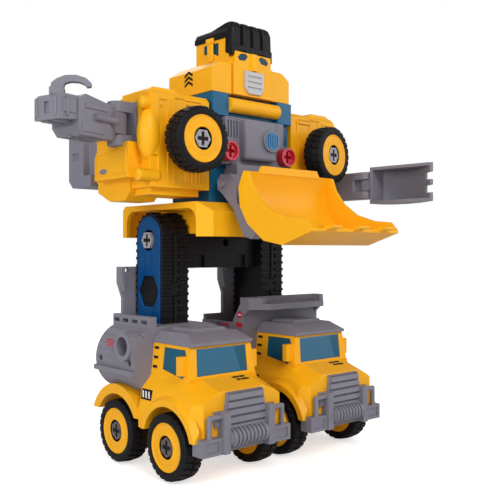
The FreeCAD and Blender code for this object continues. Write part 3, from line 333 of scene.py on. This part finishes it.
def rim_mesh(material):
    """The disc inside the tyre: stepped rings round the recess, and six marks between them."""
    shape = bmesh.new()
    lathe(shape, [(-0.7, 15.0), (-0.25, 14.8), (-0.25, 14.2), (-0.8, 13.9), (-0.75, 10.4), (-0.45, 10.2),
                  (-0.45, 8.8), (-0.2, 8.6), (-0.2, 7.5), (-0.5, 7.2), (-5.9, 7.2), (-5.9, 3.1),
                  (-13.4, 3.1), (-13.4, 15.0)], 96)
    near, far, half = 11.6, 12.7, 0.45
    for k in range(6):
        a = math.radians(60 * k + 30)
        spoke = Vector((0, math.cos(a), math.sin(a)))
        across = Vector((0, -math.sin(a), math.cos(a)))
        corners = []
        for x in (-1.0, -0.45):
            for r, way in ((near, -1), (near, 1), (far, 1), (far, -1)):
                point = spoke * r + across * (half * way)
                corners.append((x, point.y, point.z))
        hull_block(shape, corners)
    return finished("rim", shape, material)


def shade_lining_mesh(material):
    """A black lining of the recess's wall and floor as painted shade, just inside the disc and clear of the
    screw's head.
    """
    shape = bmesh.new()
    lathe(shape, [(-1.0, 7.18), (-1.0, 6.9), (-5.7, 6.9), (-5.7, 3.3), (-5.88, 3.3), (-5.88, 7.18)], 48)
    return finished("recess", shape, material)


def facing_place(spot, out):
    """Where a thing drawn looking along +X stands, from a spot in millimetres and the way it looks."""
    turn = Vector((1, 0, 0)).rotation_difference(Vector(out)).to_matrix().to_4x4()
    return Matrix.Translation(Vector(spot) / 1000) @ turn


# soft rubber: matt and nearly black, so mainly the tread's edges catch the light
rubber = plastic("tyre_rubber", "0E0D10", "151417", 0.5, grain=0.05, shine=0.2)
# black ABS: smoother than the tyre, with a dim broad shine
black = plastic("black_abs", "0E0C10", "151317", 0.40, shine=0.2)
tyre, rim, shade_lining = tyre_mesh(rubber), rim_mesh(yellow), shade_lining_mesh(black)
axle_up, face_out = 21.0, 38.6     # a wheel's face stands that far from its truck's middle
wheels = []
for truck, side in (("tanker", -1), ("dumper", 1)):
    for axle, y in (("front", -26.3), ("rear", 30.3)):
        for flank, out in (("outer", side), ("inner", -side)):
            spot = (truck_middle[truck] + out * face_out, y, axle_up)
            wheels.append(("%s_%s_%s" % (truck, axle, flank), truck_body[truck], spot, (out, 0, 0)))
# the right shoulder's wheel looks forward; the left's is toed outwards, about the arm's front face
shoulder_out, shoulder_up, arm_front, wheel_reach = 59.4, 210.0, 12.0, 21.1
toe = math.radians(9)
right_spot = (-shoulder_out, -arm_front - wheel_reach, shoulder_up)
wheels.append(("right_shoulder", "right_arm", right_spot, (0, -1, 0)))
toed_out = (math.sin(toe), -math.cos(toe), 0)
left_spot = (shoulder_out + wheel_reach * toed_out[0], -arm_front + wheel_reach * toed_out[1], shoulder_up)
wheels.append(("left_shoulder", "left_arm", left_spot, toed_out))
for name, _, spot, out in wheels:
    place = facing_place(spot, out)
    body = name + "_wheel"
    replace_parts(put(name + "_tyre_shown", tyre, body, 0.35, place), name + "_tyre")
    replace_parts(put(name + "_rim_shown", rim, body, 0.15, place), name + "_rim")
    # painted shade: a black lining in the screw's recess stands for the shade there
    put(name + "_recess", shade_lining, body, 0.0, place)


# ---------------------------------------------------------------- wheel screws
# Coarse toy screws in grey plastic: a hexagonal head with a wide cross recess whose black
# floor is painted shade. The truck wheels' screws are a darker, warmer grey than the rest.

def head_mesh(name, material):
    """The top of a hexagonal head round a cross, in two halves, looking along +X."""
    shape = bmesh.new()
    half = [(6.2, 0.0), (3.1, 5.37), (-3.1, 5.37), (-6.2, 0.0), (-4.3, 0.0), (-4.3, 1.25), (-1.25, 1.25),
            (-1.25, 4.3), (1.25, 4.3), (1.25, 1.25), (4.3, 1.25), (4.3, 0.0)]
    under, top = -1.65, -0.85
    prism(shape, half, "x", under, top)
    prism(shape, [(a, -b) for a, b in half], "x", under, top)
    bmesh.ops.remove_doubles(shape, verts=shape.verts, dist=0.001)
    inner = [face for face in shape.faces if all(abs(v.co.z) < 0.001 for v in face.verts)]
    bmesh.ops.delete(shape, geom=inner, context="FACES")
    return finished(name, shape, material)


def cross_shade_mesh(name, material):
    """A black floor under the cross as painted shade, a little wider than its opening and below it."""
    shape = bmesh.new()
    far, half = 4.4, 1.3
    prism(shape, [(far, -half), (far, half), (half, half), (half, far), (-half, far), (-half, half),
                  (-far, half), (-far, -half), (-half, -half), (-half, -far), (half, -far), (half, -half)],
          "x", -1.7, -1.5)
    return finished(name, shape, material)


# screws come off a polished mould, so their flats shine more than the bodies
pale = plastic("screw_grey", "8E8D95", "A2A1A9", 0.34)
dull = plastic("screw_dark_grey", "57504E", "645D5B", 0.38, shine=0.3)
# painted shade: the black sheet under each cross stands for the shade in the recess
cross = cross_shade_mesh("screw_cross", black)
dull_head, pale_head = head_mesh("dark_screw_head", dull), head_mesh("pale_screw_head", pale)
for truck in ("tanker", "dumper"):
    dress(truck + "_wheel_screws", dull, 0.4)
for name, holder, spot, out in wheels:
    place = facing_place(spot, out)
    screw_head = pale_head if "shoulder" in name else dull_head
    put(name + "_head", screw_head, holder, 0.0, place)
    put(name + "_cross", cross, holder, 0.0, place)


# ---------------------------------------------------------------- tank
# The tanker's rounded tank in grey ABS, with a round port, a slotted walkway, a rail and
# planked sides. Red bars and a small red triangle are printed on the outer side.

def tank_side(height):
    """How far the tank's round side stands out from its truck's middle at a height."""
    return 17.3 + math.sqrt(23.0 ** 2 - (height - 68.0) ** 2)


dress("tanker_body", grey, 0.7)
planks = bmesh.new()
for way in (-1, 1):
    for low in (65.5, 70.0, 74.5, 79.0, 83.5, 87.5):
        x, high = tank_side(low), low + 0.7
        # on the outer side the lower planks start behind the port
        start = 26.0 if way < 0 and low < 87 else 5.2
        plank = [(x - 0.6, low), (x + 0.3, low), (x + 0.1, high), (x - 0.6, high)]
        prism(planks, [(truck_middle["tanker"] + way * a, b) for a, b in plank], "y", start, 51.0)
make("tank_planks", planks, grey, "right_leg", 0.15)
# glossy red, for the prints here and the moulded pegs on the chest
red = plastic("red_abs", "BE1228", "CC1A31", 0.28, coat=0.3)
bars = bmesh.new()
for k, (y0, y1) in enumerate(((33.0, 42.5), (33.6, 43.0), (33.0, 40.0))):
    low = 80.0 - 1.7 * k
    x, high = truck_middle["tanker"] - tank_side(low), low + 0.8
    prism(bars, [(x + sunk, low), (x - proud, low), (x - 0.02, high), (x + sunk, high)], "y", y0, y1)
prism(bars, [(5.6, 75.2), (9.4, 75.2), (7.5, 78.6)], "x", -86.8, -86.3)
make("tank_red_marks", bars, red, "right_leg", 0.0)


# ---------------------------------------------------------------- tipping bed
# The dump truck's bed and canopy are one grey moulding. A red disc and plain red strips
# are printed on the side that faces the other truck, and again on the far side.

def round_outline(y, z, across, up, count):
    """A circle or an ellipse as (y, z) points, from its centre and its two radii."""
    turns = [2 * math.pi * k / count for k in range(count)]
    return [(y + across * math.cos(a), z + up * math.sin(a)) for a in turns]


dress("dumper_body", grey, 0.7)
signs = bmesh.new()
pale_dashes = bmesh.new()
for side in (-1, 1):
    flap = truck_middle["dumper"] + side * 38.8
    face = flap + side * 0.25
    prism(signs, round_outline(8.4, 94.0, 2.7, 2.7, 32), "x", flap, face)
    block(signs, flap, face, 5.6, 12.4, 85.0, 88.4)
    block(signs, flap, face, 20.0, 29.0, 85.2, 87.0)
    block(pale_dashes, face, face + side * 0.15, 6.9, 9.9, 93.5, 94.5)
make("bed_red_marks", signs, red, "left_leg", 0.0)
make("bed_pale_marks", pale_dashes, white_ink, "left_leg", 0.0)


# ---------------------------------------------------------------- tracks
# Each leg is a black ABS moulding with cross ribs all round, split by a smooth lane with
# a raised rail down the middle, and a stop in the rail halfway up.

leg_y = 31.0
track_low, track_high, track_round = 59.2, 165.6, 15.2
track_inner, track_outer, lip = 34.5, 56.5, 3.0
arc_steps = 14


def slot_outline(low, high, radius):
    """A standing bar with round ends on the leg's middle line, as (y, z) points."""
    points = []
    for middle, first in ((high - radius, 0.0), (low + radius, math.pi)):
        for k in range(arc_steps + 1):
            a = first + math.pi * k / arc_steps
            points.append((leg_y + radius * math.cos(a), middle + radius * math.sin(a)))
    return points


def loop_place(distance):
    """A point and outward direction on the track's loop, that far along it from its lowest front corner."""
    straight = track_high - track_low - 2 * track_round
    arc = math.pi * track_round
    top, foot = track_high - track_round, track_low + track_round
    if distance < straight:
        return (leg_y - track_round, foot + distance), (-1, 0)
    distance -= straight
    if distance < arc:
        a = math.pi - distance / track_round
        out = (math.cos(a), math.sin(a))
        return (leg_y + track_round * out[0], top + track_round * out[1]), out
    distance -= arc
    if distance < straight:
        return (leg_y + track_round, top - distance), (1, 0)
    a = -(distance - straight) / track_round
    out = (math.cos(a), math.sin(a))
    return (leg_y + track_round * out[0], foot + track_round * out[1]), out


def track_ribs(shape, side):
    """48 cross ribs round the loop, each in two lengths with the smooth lane between them."""
    count, buried, tall = 48, -0.4, 1.2
    total = 2 * (track_high - track_low - 2 * track_round + math.pi * track_round)
    for k in range(count):
        (y, z), (dy, dz) = loop_place(total * k / count)
        for x0, x1 in ((track_inner, 42.6), (48.4, track_outer)):
            corners = []
            for x in (side * x0, side * x1):
                for out, half, ways in ((buried, 1.25, (-1, 1)), (tall, 0.85, (1, -1))):
                    for way in ways:
                        corners.append((x, y + dy * out - dz * half * way, z + dz * out + dy * half * way))
            hull_block(shape, corners)


def panel_lip(shape, side, outline):
    """The lip that stands round the side panel: a wall between the outline and one 1.8 inside it."""
    hole = slot_outline(track_low + 1.8, track_high - 1.8, track_round - 1.8)
    rings = []
    for points in (outline, hole):
        for x in (track_outer - lip, track_outer):
            rings.append([shape.verts.new((side * x, a, b)) for a, b in points])
    outer_near, outer_far, inner_near, inner_far = rings
    for k in range(len(outline)):
        n = (k + 1) % len(outline)
        for near, far in ((outer_near, outer_far), (inner_far, inner_near), (outer_far, inner_far)):
            shape.faces.new((near[k], near[n], far[n], far[k]))


for side, leg in ((-1, "right"), (1, "left")):
    shape = bmesh.new()
    outline = slot_outline(track_low, track_high, track_round)
    prism(shape, outline, "x", side * track_inner, side * (track_outer - lip))
    panel_lip(shape, side, outline)
    track_ribs(shape, side)
    # the rail stands on the front and the back, broken halfway up between two short bars
    for y0, y1 in ((14.7, 16.2), (45.8, 47.3)):
        for z0, z1 in ((74.0, 109.5), (118.5, 152.0)):
            block(shape, side * 44.2, side * 46.8, y0, y1, z0, z1)
        for z in (108.6, 118.2):
            block(shape, side * 43.2, side * 47.8, y0, y1, z, z + 1.2)
    track = make(leg + "_track_shown", shape, black, leg + "_leg", 0.25)
    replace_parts(track, leg + "_track")


# ---------------------------------------------------------------- leg side panels
# Blue ABS panels let into the outer side of each track, with raised outlines round a
# black hexagon, and a recess for the hip screw at the top, lined in black as painted shade.

def ridge(shape, points, x0, x1, half):
    """Thin raised lines in the plane square to X, running through (y, z) points."""
    for (ya, za), (yb, zb) in zip(points, points[1:]):
        along = Vector((yb - ya, zb - za)).normalized()
        side_y, side_z = -along.y * half, along.x * half
        ya, za, yb, zb = ya - along.x * half, za - along.y * half, yb + along.x * half, zb + along.y * half
        prism(shape, [(ya + side_y, za + side_z), (yb + side_y, zb + side_z),
                      (yb - side_y, zb - side_z), (ya - side_y, za - side_z)], "x", x0, x1)


def hip_place(side, out):
    """On the hip's axis, that far from the middle in millimetres, turned about Z to look outwards."""
    turn = Matrix.Rotation(0 if side > 0 else math.pi, 4, "Z")
    return Matrix.Translation(Vector((side * out, leg_y, hip_up)) / 1000) @ turn


# a deep blue, so smooth that it shows the lamps as soft streaks
panel_blue = plastic("panel_blue", "013F72", "02487F", 0.30, shine=0.2)
panel_face, hexagon_up = 56.9, 112.4
hip_up = 147.4
dress("hip_screws", pale, 0.4)
for side, leg in ((-1, "right"), (1, "left")):
    dress(leg + "_leg_panel", panel_blue, 0.5)
    lines = bmesh.new()
    for way in (-1, 1):
        path = [(4.0, 138.0), (4.0, 126.5), (8.2, 122.6), (12.2, hexagon_up), (8.2, 102.0), (4.6, 96.0),
                (4.6, 78.0)]
        ridge(lines, [(leg_y + way * a, b) for a, b in path], side * panel_face, side * 57.45, 0.3)
    ridge(lines, [(27.0, 128.6), (35.0, 128.6)], side * panel_face, side * 57.4, 0.3)
    make(leg + "_panel_lines", lines, panel_blue, leg + "_leg", 0.1)
    badge = bmesh.new()
    for size, x0, x1 in ((11.8, 54.9, 56.2), (9.6, 56.2, 56.6)):
        prism(badge, round_outline(leg_y, hexagon_up, size, size, 6), "x", side * x0, side * x1)
    make(leg + "_panel_hexagon", badge, black, leg + "_leg", 0.3)
    # painted shade: a black lining in the hip screw's recess stands for the shade there
    put(leg + "_hip_recess", shade_lining, leg + "_leg", 0.0, hip_place(side, 57.9))
for side in (-1, 1):
    put("hip_head_%d" % side, pale_head, "frame", 0.0, hip_place(side, 59.4))
    put("hip_cross_%d" % side, cross, "frame", 0.0, hip_place(side, 59.4))


# ---------------------------------------------------------------- pelvis
# A yellow ABS shell with wheel-arch cut-outs over the legs, and the black ABS crossbeam
# that the two hip screws run into.

dress("pelvis_body", yellow, 1.2)
dress("crossbeam", black, 0.8)


# ---------------------------------------------------------------- torso
# A blue ABS block with two front posts; between them a half-round yellow bar, a grey
# plate with louvres and a boss with a slotted blue disc, and two glossy red cross pegs.

# a greener, paler blue than the leg panels', with a satin shine; the disc is brighter still
blue = plastic("torso_blue", "15597D", "19658C", 0.34, shine=0.3)
disc_blue = plastic("disc_blue", "1E6C9E", "2478AC", 0.34)
dress("torso_body", blue, 1.0)
dress("chest_plate", grey, 0.6)
dress("chest_bar", yellow, 0.5)
dress("chest_pegs", red, 0.4)
dress("chest_disc", disc_blue, 0.2)
trim = bmesh.new()
for x0, x1, y0, z0, z1 in ((19.2, 20.0, -16.1, 201.0, 229.0), (15.6, 19.2, -16.1, 226.0, 226.8),
                           (-25.6, -15.0, -16.0, 229.2, 229.9)):
    block(trim, x0, x1, y0, -15.5, z0, z1)
make("chest_trim", trim, grey, "frame", 0.2)


# ---------------------------------------------------------------- loader
# Two cranked grey lift arms and a broad yellow bucket with blunt teeth, all ABS, pinned
# together at the bucket's back.

dress("lift_arms", grey, 1.2)
dress("loader_bucket", yellow, 0.7)


# ---------------------------------------------------------------- head
# A yellow ABS shell with a broad collar, blue windows, a silver-painted vented guard, and
# black chevrons printed on the collar's right-hand side.

# dark enough blues to read as glass in the shade of the cap
eye_blue = plastic("eye_blue", "0A3A4E", "0E465C", 0.3, shine=0.2)
pane_blue = plastic("pane_blue", "123F52", "184B60", 0.3, shine=0.3)
dress("head_shell", yellow, 0.8)
dress("head_windows", eye_blue, 0.15)
columns = bmesh.new()
panes = bmesh.new()
for way in (-1, 1):
    block(columns, way * 18.2, way * 19.7, 7.6, 13.4, 272.0, 288.6)
    block(columns, way * 18.2, way * 20.3, 6.8, 14.2, 284.6, 288.4)
    block(panes, way * 18.2, way * 18.95, 13.4, 17.4, 278.6, 284.4)
make("head_columns", columns, yellow, "head", 0.4)
make("head_rear_panes", panes, pane_blue, "head", 0.0)
# paint with fine flakes, drawn as a pale grey under a clear coat
silver = plastic("silver_paint", "A9A8AB", "BCBBBE", 0.30, coat=0.4)
dress("mouth_guard", silver, 0.3)
chevrons = bmesh.new()
for k in range(3):
    tip, end = 255.0 + 3.3 * k, 252.6 + 3.3 * k
    for way in (-1, 1):
        bar = [(13.0, tip), (13.0, tip + 1.8), (13.0 + way * 4.4, end + 1.8), (13.0 + way * 4.4, end)]
        prism(chevrons, bar, "x", -36.25, -35.9)
make("collar_chevrons", chevrons, ink, "head", 0.0)


# ---------------------------------------------------------------- cap
# Black ABS cap on the head: a deep visor in four blocks parted by V grooves, with a
# waved lower edge, and a flat roof sloping to the rear over thin cheeks.

def visor(shape):
    """The visor band and, over it, four blocks drawn as one notched outline that narrows at the top."""
    half, front, back = 18.7, -12.6, -6.0
    wave = [(0.0, 275.0), (3.6, 275.0), (6.4, 277.2), (11.6, 277.0), (14.6, 275.4), (half, 272.6)]
    band = [(-x, z) for x, z in reversed(wave[1:])] + wave + [(half, 281.0), (-half, 281.0)]
    prism(shape, band, "y", front, -9.0)
    notches = []
    for x in (-9.3, 0.0, 9.3):
        notches += [(x - 1.9, front), (x, -9.7), (x + 1.9, front)]
    plan = [(-half, back), (-half, -11.2), (-17.6, front)] + notches
    plan += [(17.6, front), (half, -11.2), (half, back)]
    levels = []
    for z, across, set_back in ((280.6, 1.0, 0.0), (292.0, 0.985, 0.3),
                                (295.6, 0.93, 1.6), (297.4, 0.84, 4.0)):
        levels.append([shape.verts.new((x * across, min(y + set_back, back), z)) for x, y in plan])
    for under, over in zip(levels, levels[1:]):
        for k in range(len(plan)):
            n = (k + 1) % len(plan)
            shape.faces.new((under[k], under[n], over[n], over[k]))
    shape.faces.new(levels[0])
    shape.faces.new(list(reversed(levels[-1])))


cap = bmesh.new()
visor(cap)
roof_view = [(-7.0, 288.9), (-7.0, 297.4), (-2.0, 297.0), (29.2, 291.4), (29.2, 288.9)]
eave_view = [(16.4, 288.9), (18.6, 288.9), (18.6, 290.6), (16.4, 294.5)]
cheek_view = [(-9.2, 274.4), (-9.2, 289.2), (29.0, 289.2), (29.0, 287.2), (-5.2, 286.2), (-5.2, 276.0)]
prism(cap, roof_view, "x", -16.6, 16.6)
for way in (-1, 1):
    prism(cap, [(way * x, z) for x, z in eave_view], "y", -7.0, 29.0)
    prism(cap, cheek_view, "x", way * 17.9, way * 18.7)
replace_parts(make("head_cap_shown", cap, black, "head", 0.5), "head_cap")


# ---------------------------------------------------------------- arms
# Yellow ABS shells with raised outlines, a slatted grip and a grey plug on the flank. The
# rear bumper, hinge bracket, pin and wheel screw are grey, held on by that pin and screw.

def turned_part(profile, side, y, z):
    """A lathed bar lying along X, pointing outwards from the arm on that side."""
    shape = bmesh.new()
    lathe(shape, profile, 32)
    bmesh.ops.remove_doubles(shape, verts=shape.verts, dist=0.001)
    for vert in shape.verts:
        vert.co = Vector((side * vert.co.x, vert.co.y + y, vert.co.z + z))
    return shape


for side, arm, start, grip_end, barrel_end in ((-1, "right", 0.5, 94.0, 91.0), (1, "left", 17.5, 85.6, 85.6)):
    body = arm + "_arm"
    dress(body + "_body", yellow, 0.9)
    dress(body + "_fittings", grey, 0.7)
    relief = bmesh.new()
    tall, half = 0.6, 0.45
    shoulder_box = [(-7.0, 232.5), (5.0, 232.5), (5.0, 214.5), (-7.0, 214.5), (-7.0, 232.5)]
    rear_box = [(22.5, 233.0), (43.0, 231.0), (49.0, 225.0), (49.0, 213.0), (22.5, 213.0), (22.5, 233.0)]
    lower_box = [(start, 189.0), (start, 204.5), (34.0, 202.2), (35.6, 200.0), (35.6, 189.0), (start, 189.0)]
    for path, flank in ((shoulder_box, 86.3), (rear_box, 84.9), (lower_box, 94.9)):
        ridge(relief, path, side * flank, side * (flank + tall), half)
    # on the front: a border round the wheel's side, and two small square frames beside it
    for x0, x1, z0, z1 in ((44.0, 45.0, 182.5, 236.5), (78.6, 79.6, 182.5, 236.0), (71.4, 72.4, 182.5, 236.0),
                           (72.4, 78.6, 235.0, 236.0), (46.0, 58.0, 236.4, 237.2)):
        block(relief, side * x0, side * x1, -12.8, -11.9, z0, z1)
    line = 0.4
    for low, high in ((226.0, 237.5), (183.0, 192.0)):
        frame_view = [(58.0, low), (67.0, low), (67.0, high), (58.0, high)]
        for (xa, za), (xb, zb) in zip(frame_view, frame_view[1:] + frame_view[:1]):
            block(relief, side * min(xa, xb) - line, side * max(xa, xb) + line, -12.7, -11.9,
                  min(za, zb) - line, max(za, zb) + line)
    make(body + "_relief", relief, yellow, body, 0.2)
    grooves = [(79.0 + 1.1 * k, 4.2 if k % 2 else 3.5) for k in range(14) if 79.0 + 1.1 * k < grip_end - 0.4]
    grip = [(78.0, 0.0), (78.0, 3.2)] + grooves + [(grip_end, 3.2), (grip_end, 0.0)]
    barrel = [(76.0, 0.0), (76.0, 4.2), (barrel_end - 2.0, 4.2), (barrel_end - 0.5, 3.4), (barrel_end, 0.0)]
    make(body + "_grip", turned_part(grip, side, -10.6, 187.0), yellow, body, 0.0)
    make(body + "_barrel", turned_part(barrel, side, -8.6, 232.4), yellow, body, 0.0)
    pad = bmesh.new()
    bmesh.ops.create_uvsphere(pad, u_segments=32, v_segments=20, radius=1.0)
    for vert in pad.verts:
        vert.co = Vector((side * (84.4 + 7.4 * vert.co.x), -9.0 + 7.0 * vert.co.y, 213.0 + 16.0 * vert.co.z))
    make(body + "_pad", pad, yellow, body, 0.0)
    plug = bmesh.new()
    prism(plug, round_outline(27.0, 191.4, 4.6, 1.7, 24), "x", side * 94.8, side * 95.2)
    make(body + "_plug", plug, grey, body, 0.0)


# ---------------------------------------------------------------- crane
# A grey ABS boom on the right arm, its underside moulded with machinery-like blocks, and
# a flat hook that turns on its end.

dress("crane_boom", grey, 0.8)
dress("crane_hook", grey, 0.5)
# the blocks are drawn with the boom along +X from its pivot, then swung to where it stands
pivot_x, pivot_y, boom_turn = -95.0, 10.0, math.radians(195)
machinery = bmesh.new()
for row in range(5):
    for step in range(3):
        x = 16.0 + 4.8 * row + 1.2 * ((row * 3 + step * 2) % 3)
        y = -7.6 + 5.4 * step + 0.9 * ((row + step) % 2)
        block(machinery, x, x + 2.2 + 0.8 * ((row + step) % 3), y, y + 2.4 + 1.1 * (row % 2), 206.8, 208.0)
block(machinery, 46.0, 56.0, -6.0, -2.0, 213.9, 216.0)
block(machinery, 46.0, 56.0, 1.0, 7.0, 213.9, 216.0)
for way in (-1, 1):
    for x0, x1, near, far, z0, z1 in (
            (20.0, 38.5, 10.5, 11.7, 223.4, 226.4), (24.0, 41.0, 10.5, 11.5, 209.5, 215.5),
            (45.0, 55.0, 9.5, 10.6, 219.0, 226.5), (51.0, 53.0, 10.5, 11.1, 217.0, 228.0)):
        block(machinery, x0, x1, way * near, way * far, z0, z1)
block(machinery, 57.5, 58.8, -8.6, -6.8, 216.5, 227.0)
block(machinery, 57.5, 58.8, 6.8, 8.6, 216.5, 227.0)
for vert in machinery.verts:
    x, y = vert.co.x, -vert.co.y
    vert.co.x = pivot_x + x * math.cos(boom_turn) - y * math.sin(boom_turn)
    vert.co.y = pivot_y + x * math.sin(boom_turn) + y * math.cos(boom_turn)
make("crane_underside", machinery, grey, "crane_boom", 0.2)


# ---------------------------------------------------------------- digger
# The left arm's stick and its three-toothed bucket, two grey ABS mouldings. The bucket is
# pinned to the stick's end, and the stick to the arm's bracket.

dress("digger_stick", grey, 0.8)
dress("digger_bucket", grey, 0.6)


# ---------------------------------------------------------------- stage and camera
# A pale floor that keeps the shadow and fades to a plain white backdrop, five soft lamps
# at a plain level, and the camera just below the height of the hips.

def area_lamp(name, place, target, size, power):
    lamp = bpy.data.lights.new(name, "AREA")
    lamp.shape = "DISK"
    lamp.size = size
    lamp.energy = power
    obj = bpy.data.objects.new(name, lamp)
    obj.location = place
    obj.rotation_euler = (Vector(target) - Vector(place)).to_track_quat("-Z", "Y").to_euler()
    bpy.context.scene.collection.objects.link(obj)


def backdrop_material():
    """Matt white that keeps the shadow underneath, lit up to plain white for the camera further out."""
    material = bpy.data.materials.new("backdrop")
    material.use_nodes = True
    tree = material.node_tree
    tree.nodes.remove(tree.nodes["Principled BSDF"])
    spot = add(tree, "ShaderNodeTexCoord").outputs["Object"]
    reach = add(tree, "ShaderNodeVectorMath", operation="LENGTH", i0=spot)
    lift = add(tree, "ShaderNodeMapRange", interpolation_type="SMOOTHSTEP", Value=reach.outputs["Value"],
               From_Min=0.12, From_Max=0.42, To_Min=0.62, To_Max=1.0)
    seen = add(tree, "ShaderNodeLightPath").outputs["Is Camera Ray"]
    shown = add(tree, "ShaderNodeMath", operation="MULTIPLY", i0=seen, i1=lift.outputs["Result"])
    white = add(tree, "ShaderNodeEmission", Color=(1, 1, 1, 1), Strength=shown.outputs[0])
    matt = add(tree, "ShaderNodeBsdfDiffuse", Color=(0.78, 0.78, 0.78, 1))
    both = add(tree, "ShaderNodeAddShader", i0=white.outputs[0], i1=matt.outputs[0])
    tree.links.new(both.outputs[0], tree.nodes["Material Output"].inputs["Surface"])
    return material


sheet = bmesh.new()
block(sheet, -1500, 1500, -1500, 1500, -3.0, -0.6)
floor = bpy.data.objects.new("floor", finished("floor", sheet, backdrop_material()))
bpy.context.scene.collection.objects.link(floor)

world = bpy.data.worlds.new("studio")
bpy.context.scene.world = world
world.use_nodes = True
sky = world.node_tree
background = sky.nodes["Background"]
background.inputs["Color"].default_value = (1, 1, 1, 1)
seen = add(sky, "ShaderNodeLightPath").outputs["Is Camera Ray"]
level = add(sky, "ShaderNodeMapRange", Value=seen, To_Min=0.30, To_Max=1.0)
sky.links.new(level.outputs["Result"], background.inputs["Strength"])

area_lamp("key", (-0.35, -1.0, 0.85), (0, 0, 0.14), 0.55, 7.0)
area_lamp("fill", (0.9, -0.7, 0.5), (0, 0, 0.14), 0.7, 2.6)
area_lamp("side", (-1.15, -0.15, 0.40), (0, 0, 0.14), 0.6, 5.4)
area_lamp("front", (-0.7, -1.0, 0.10), (0, 0, 0.14), 0.7, 1.8)
area_lamp("back", (0.3, 0.9, 0.8), (0, 0, 0.2), 0.5, 2.0)

lens_and_sensor = bpy.data.cameras.new("camera")
lens_and_sensor.lens = 53.3
lens_and_sensor.sensor_width = 36.0
camera = bpy.data.objects.new("camera", lens_and_sensor)
bpy.context.scene.collection.objects.link(camera)
camera.location = (-0.3459, -0.3923, 0.1407)
camera.rotation_euler = (math.radians(90), 0, math.radians(-41.4))
bpy.context.scene.camera = camera
bpy.context.scene.view_settings.view_transform = "Standard"
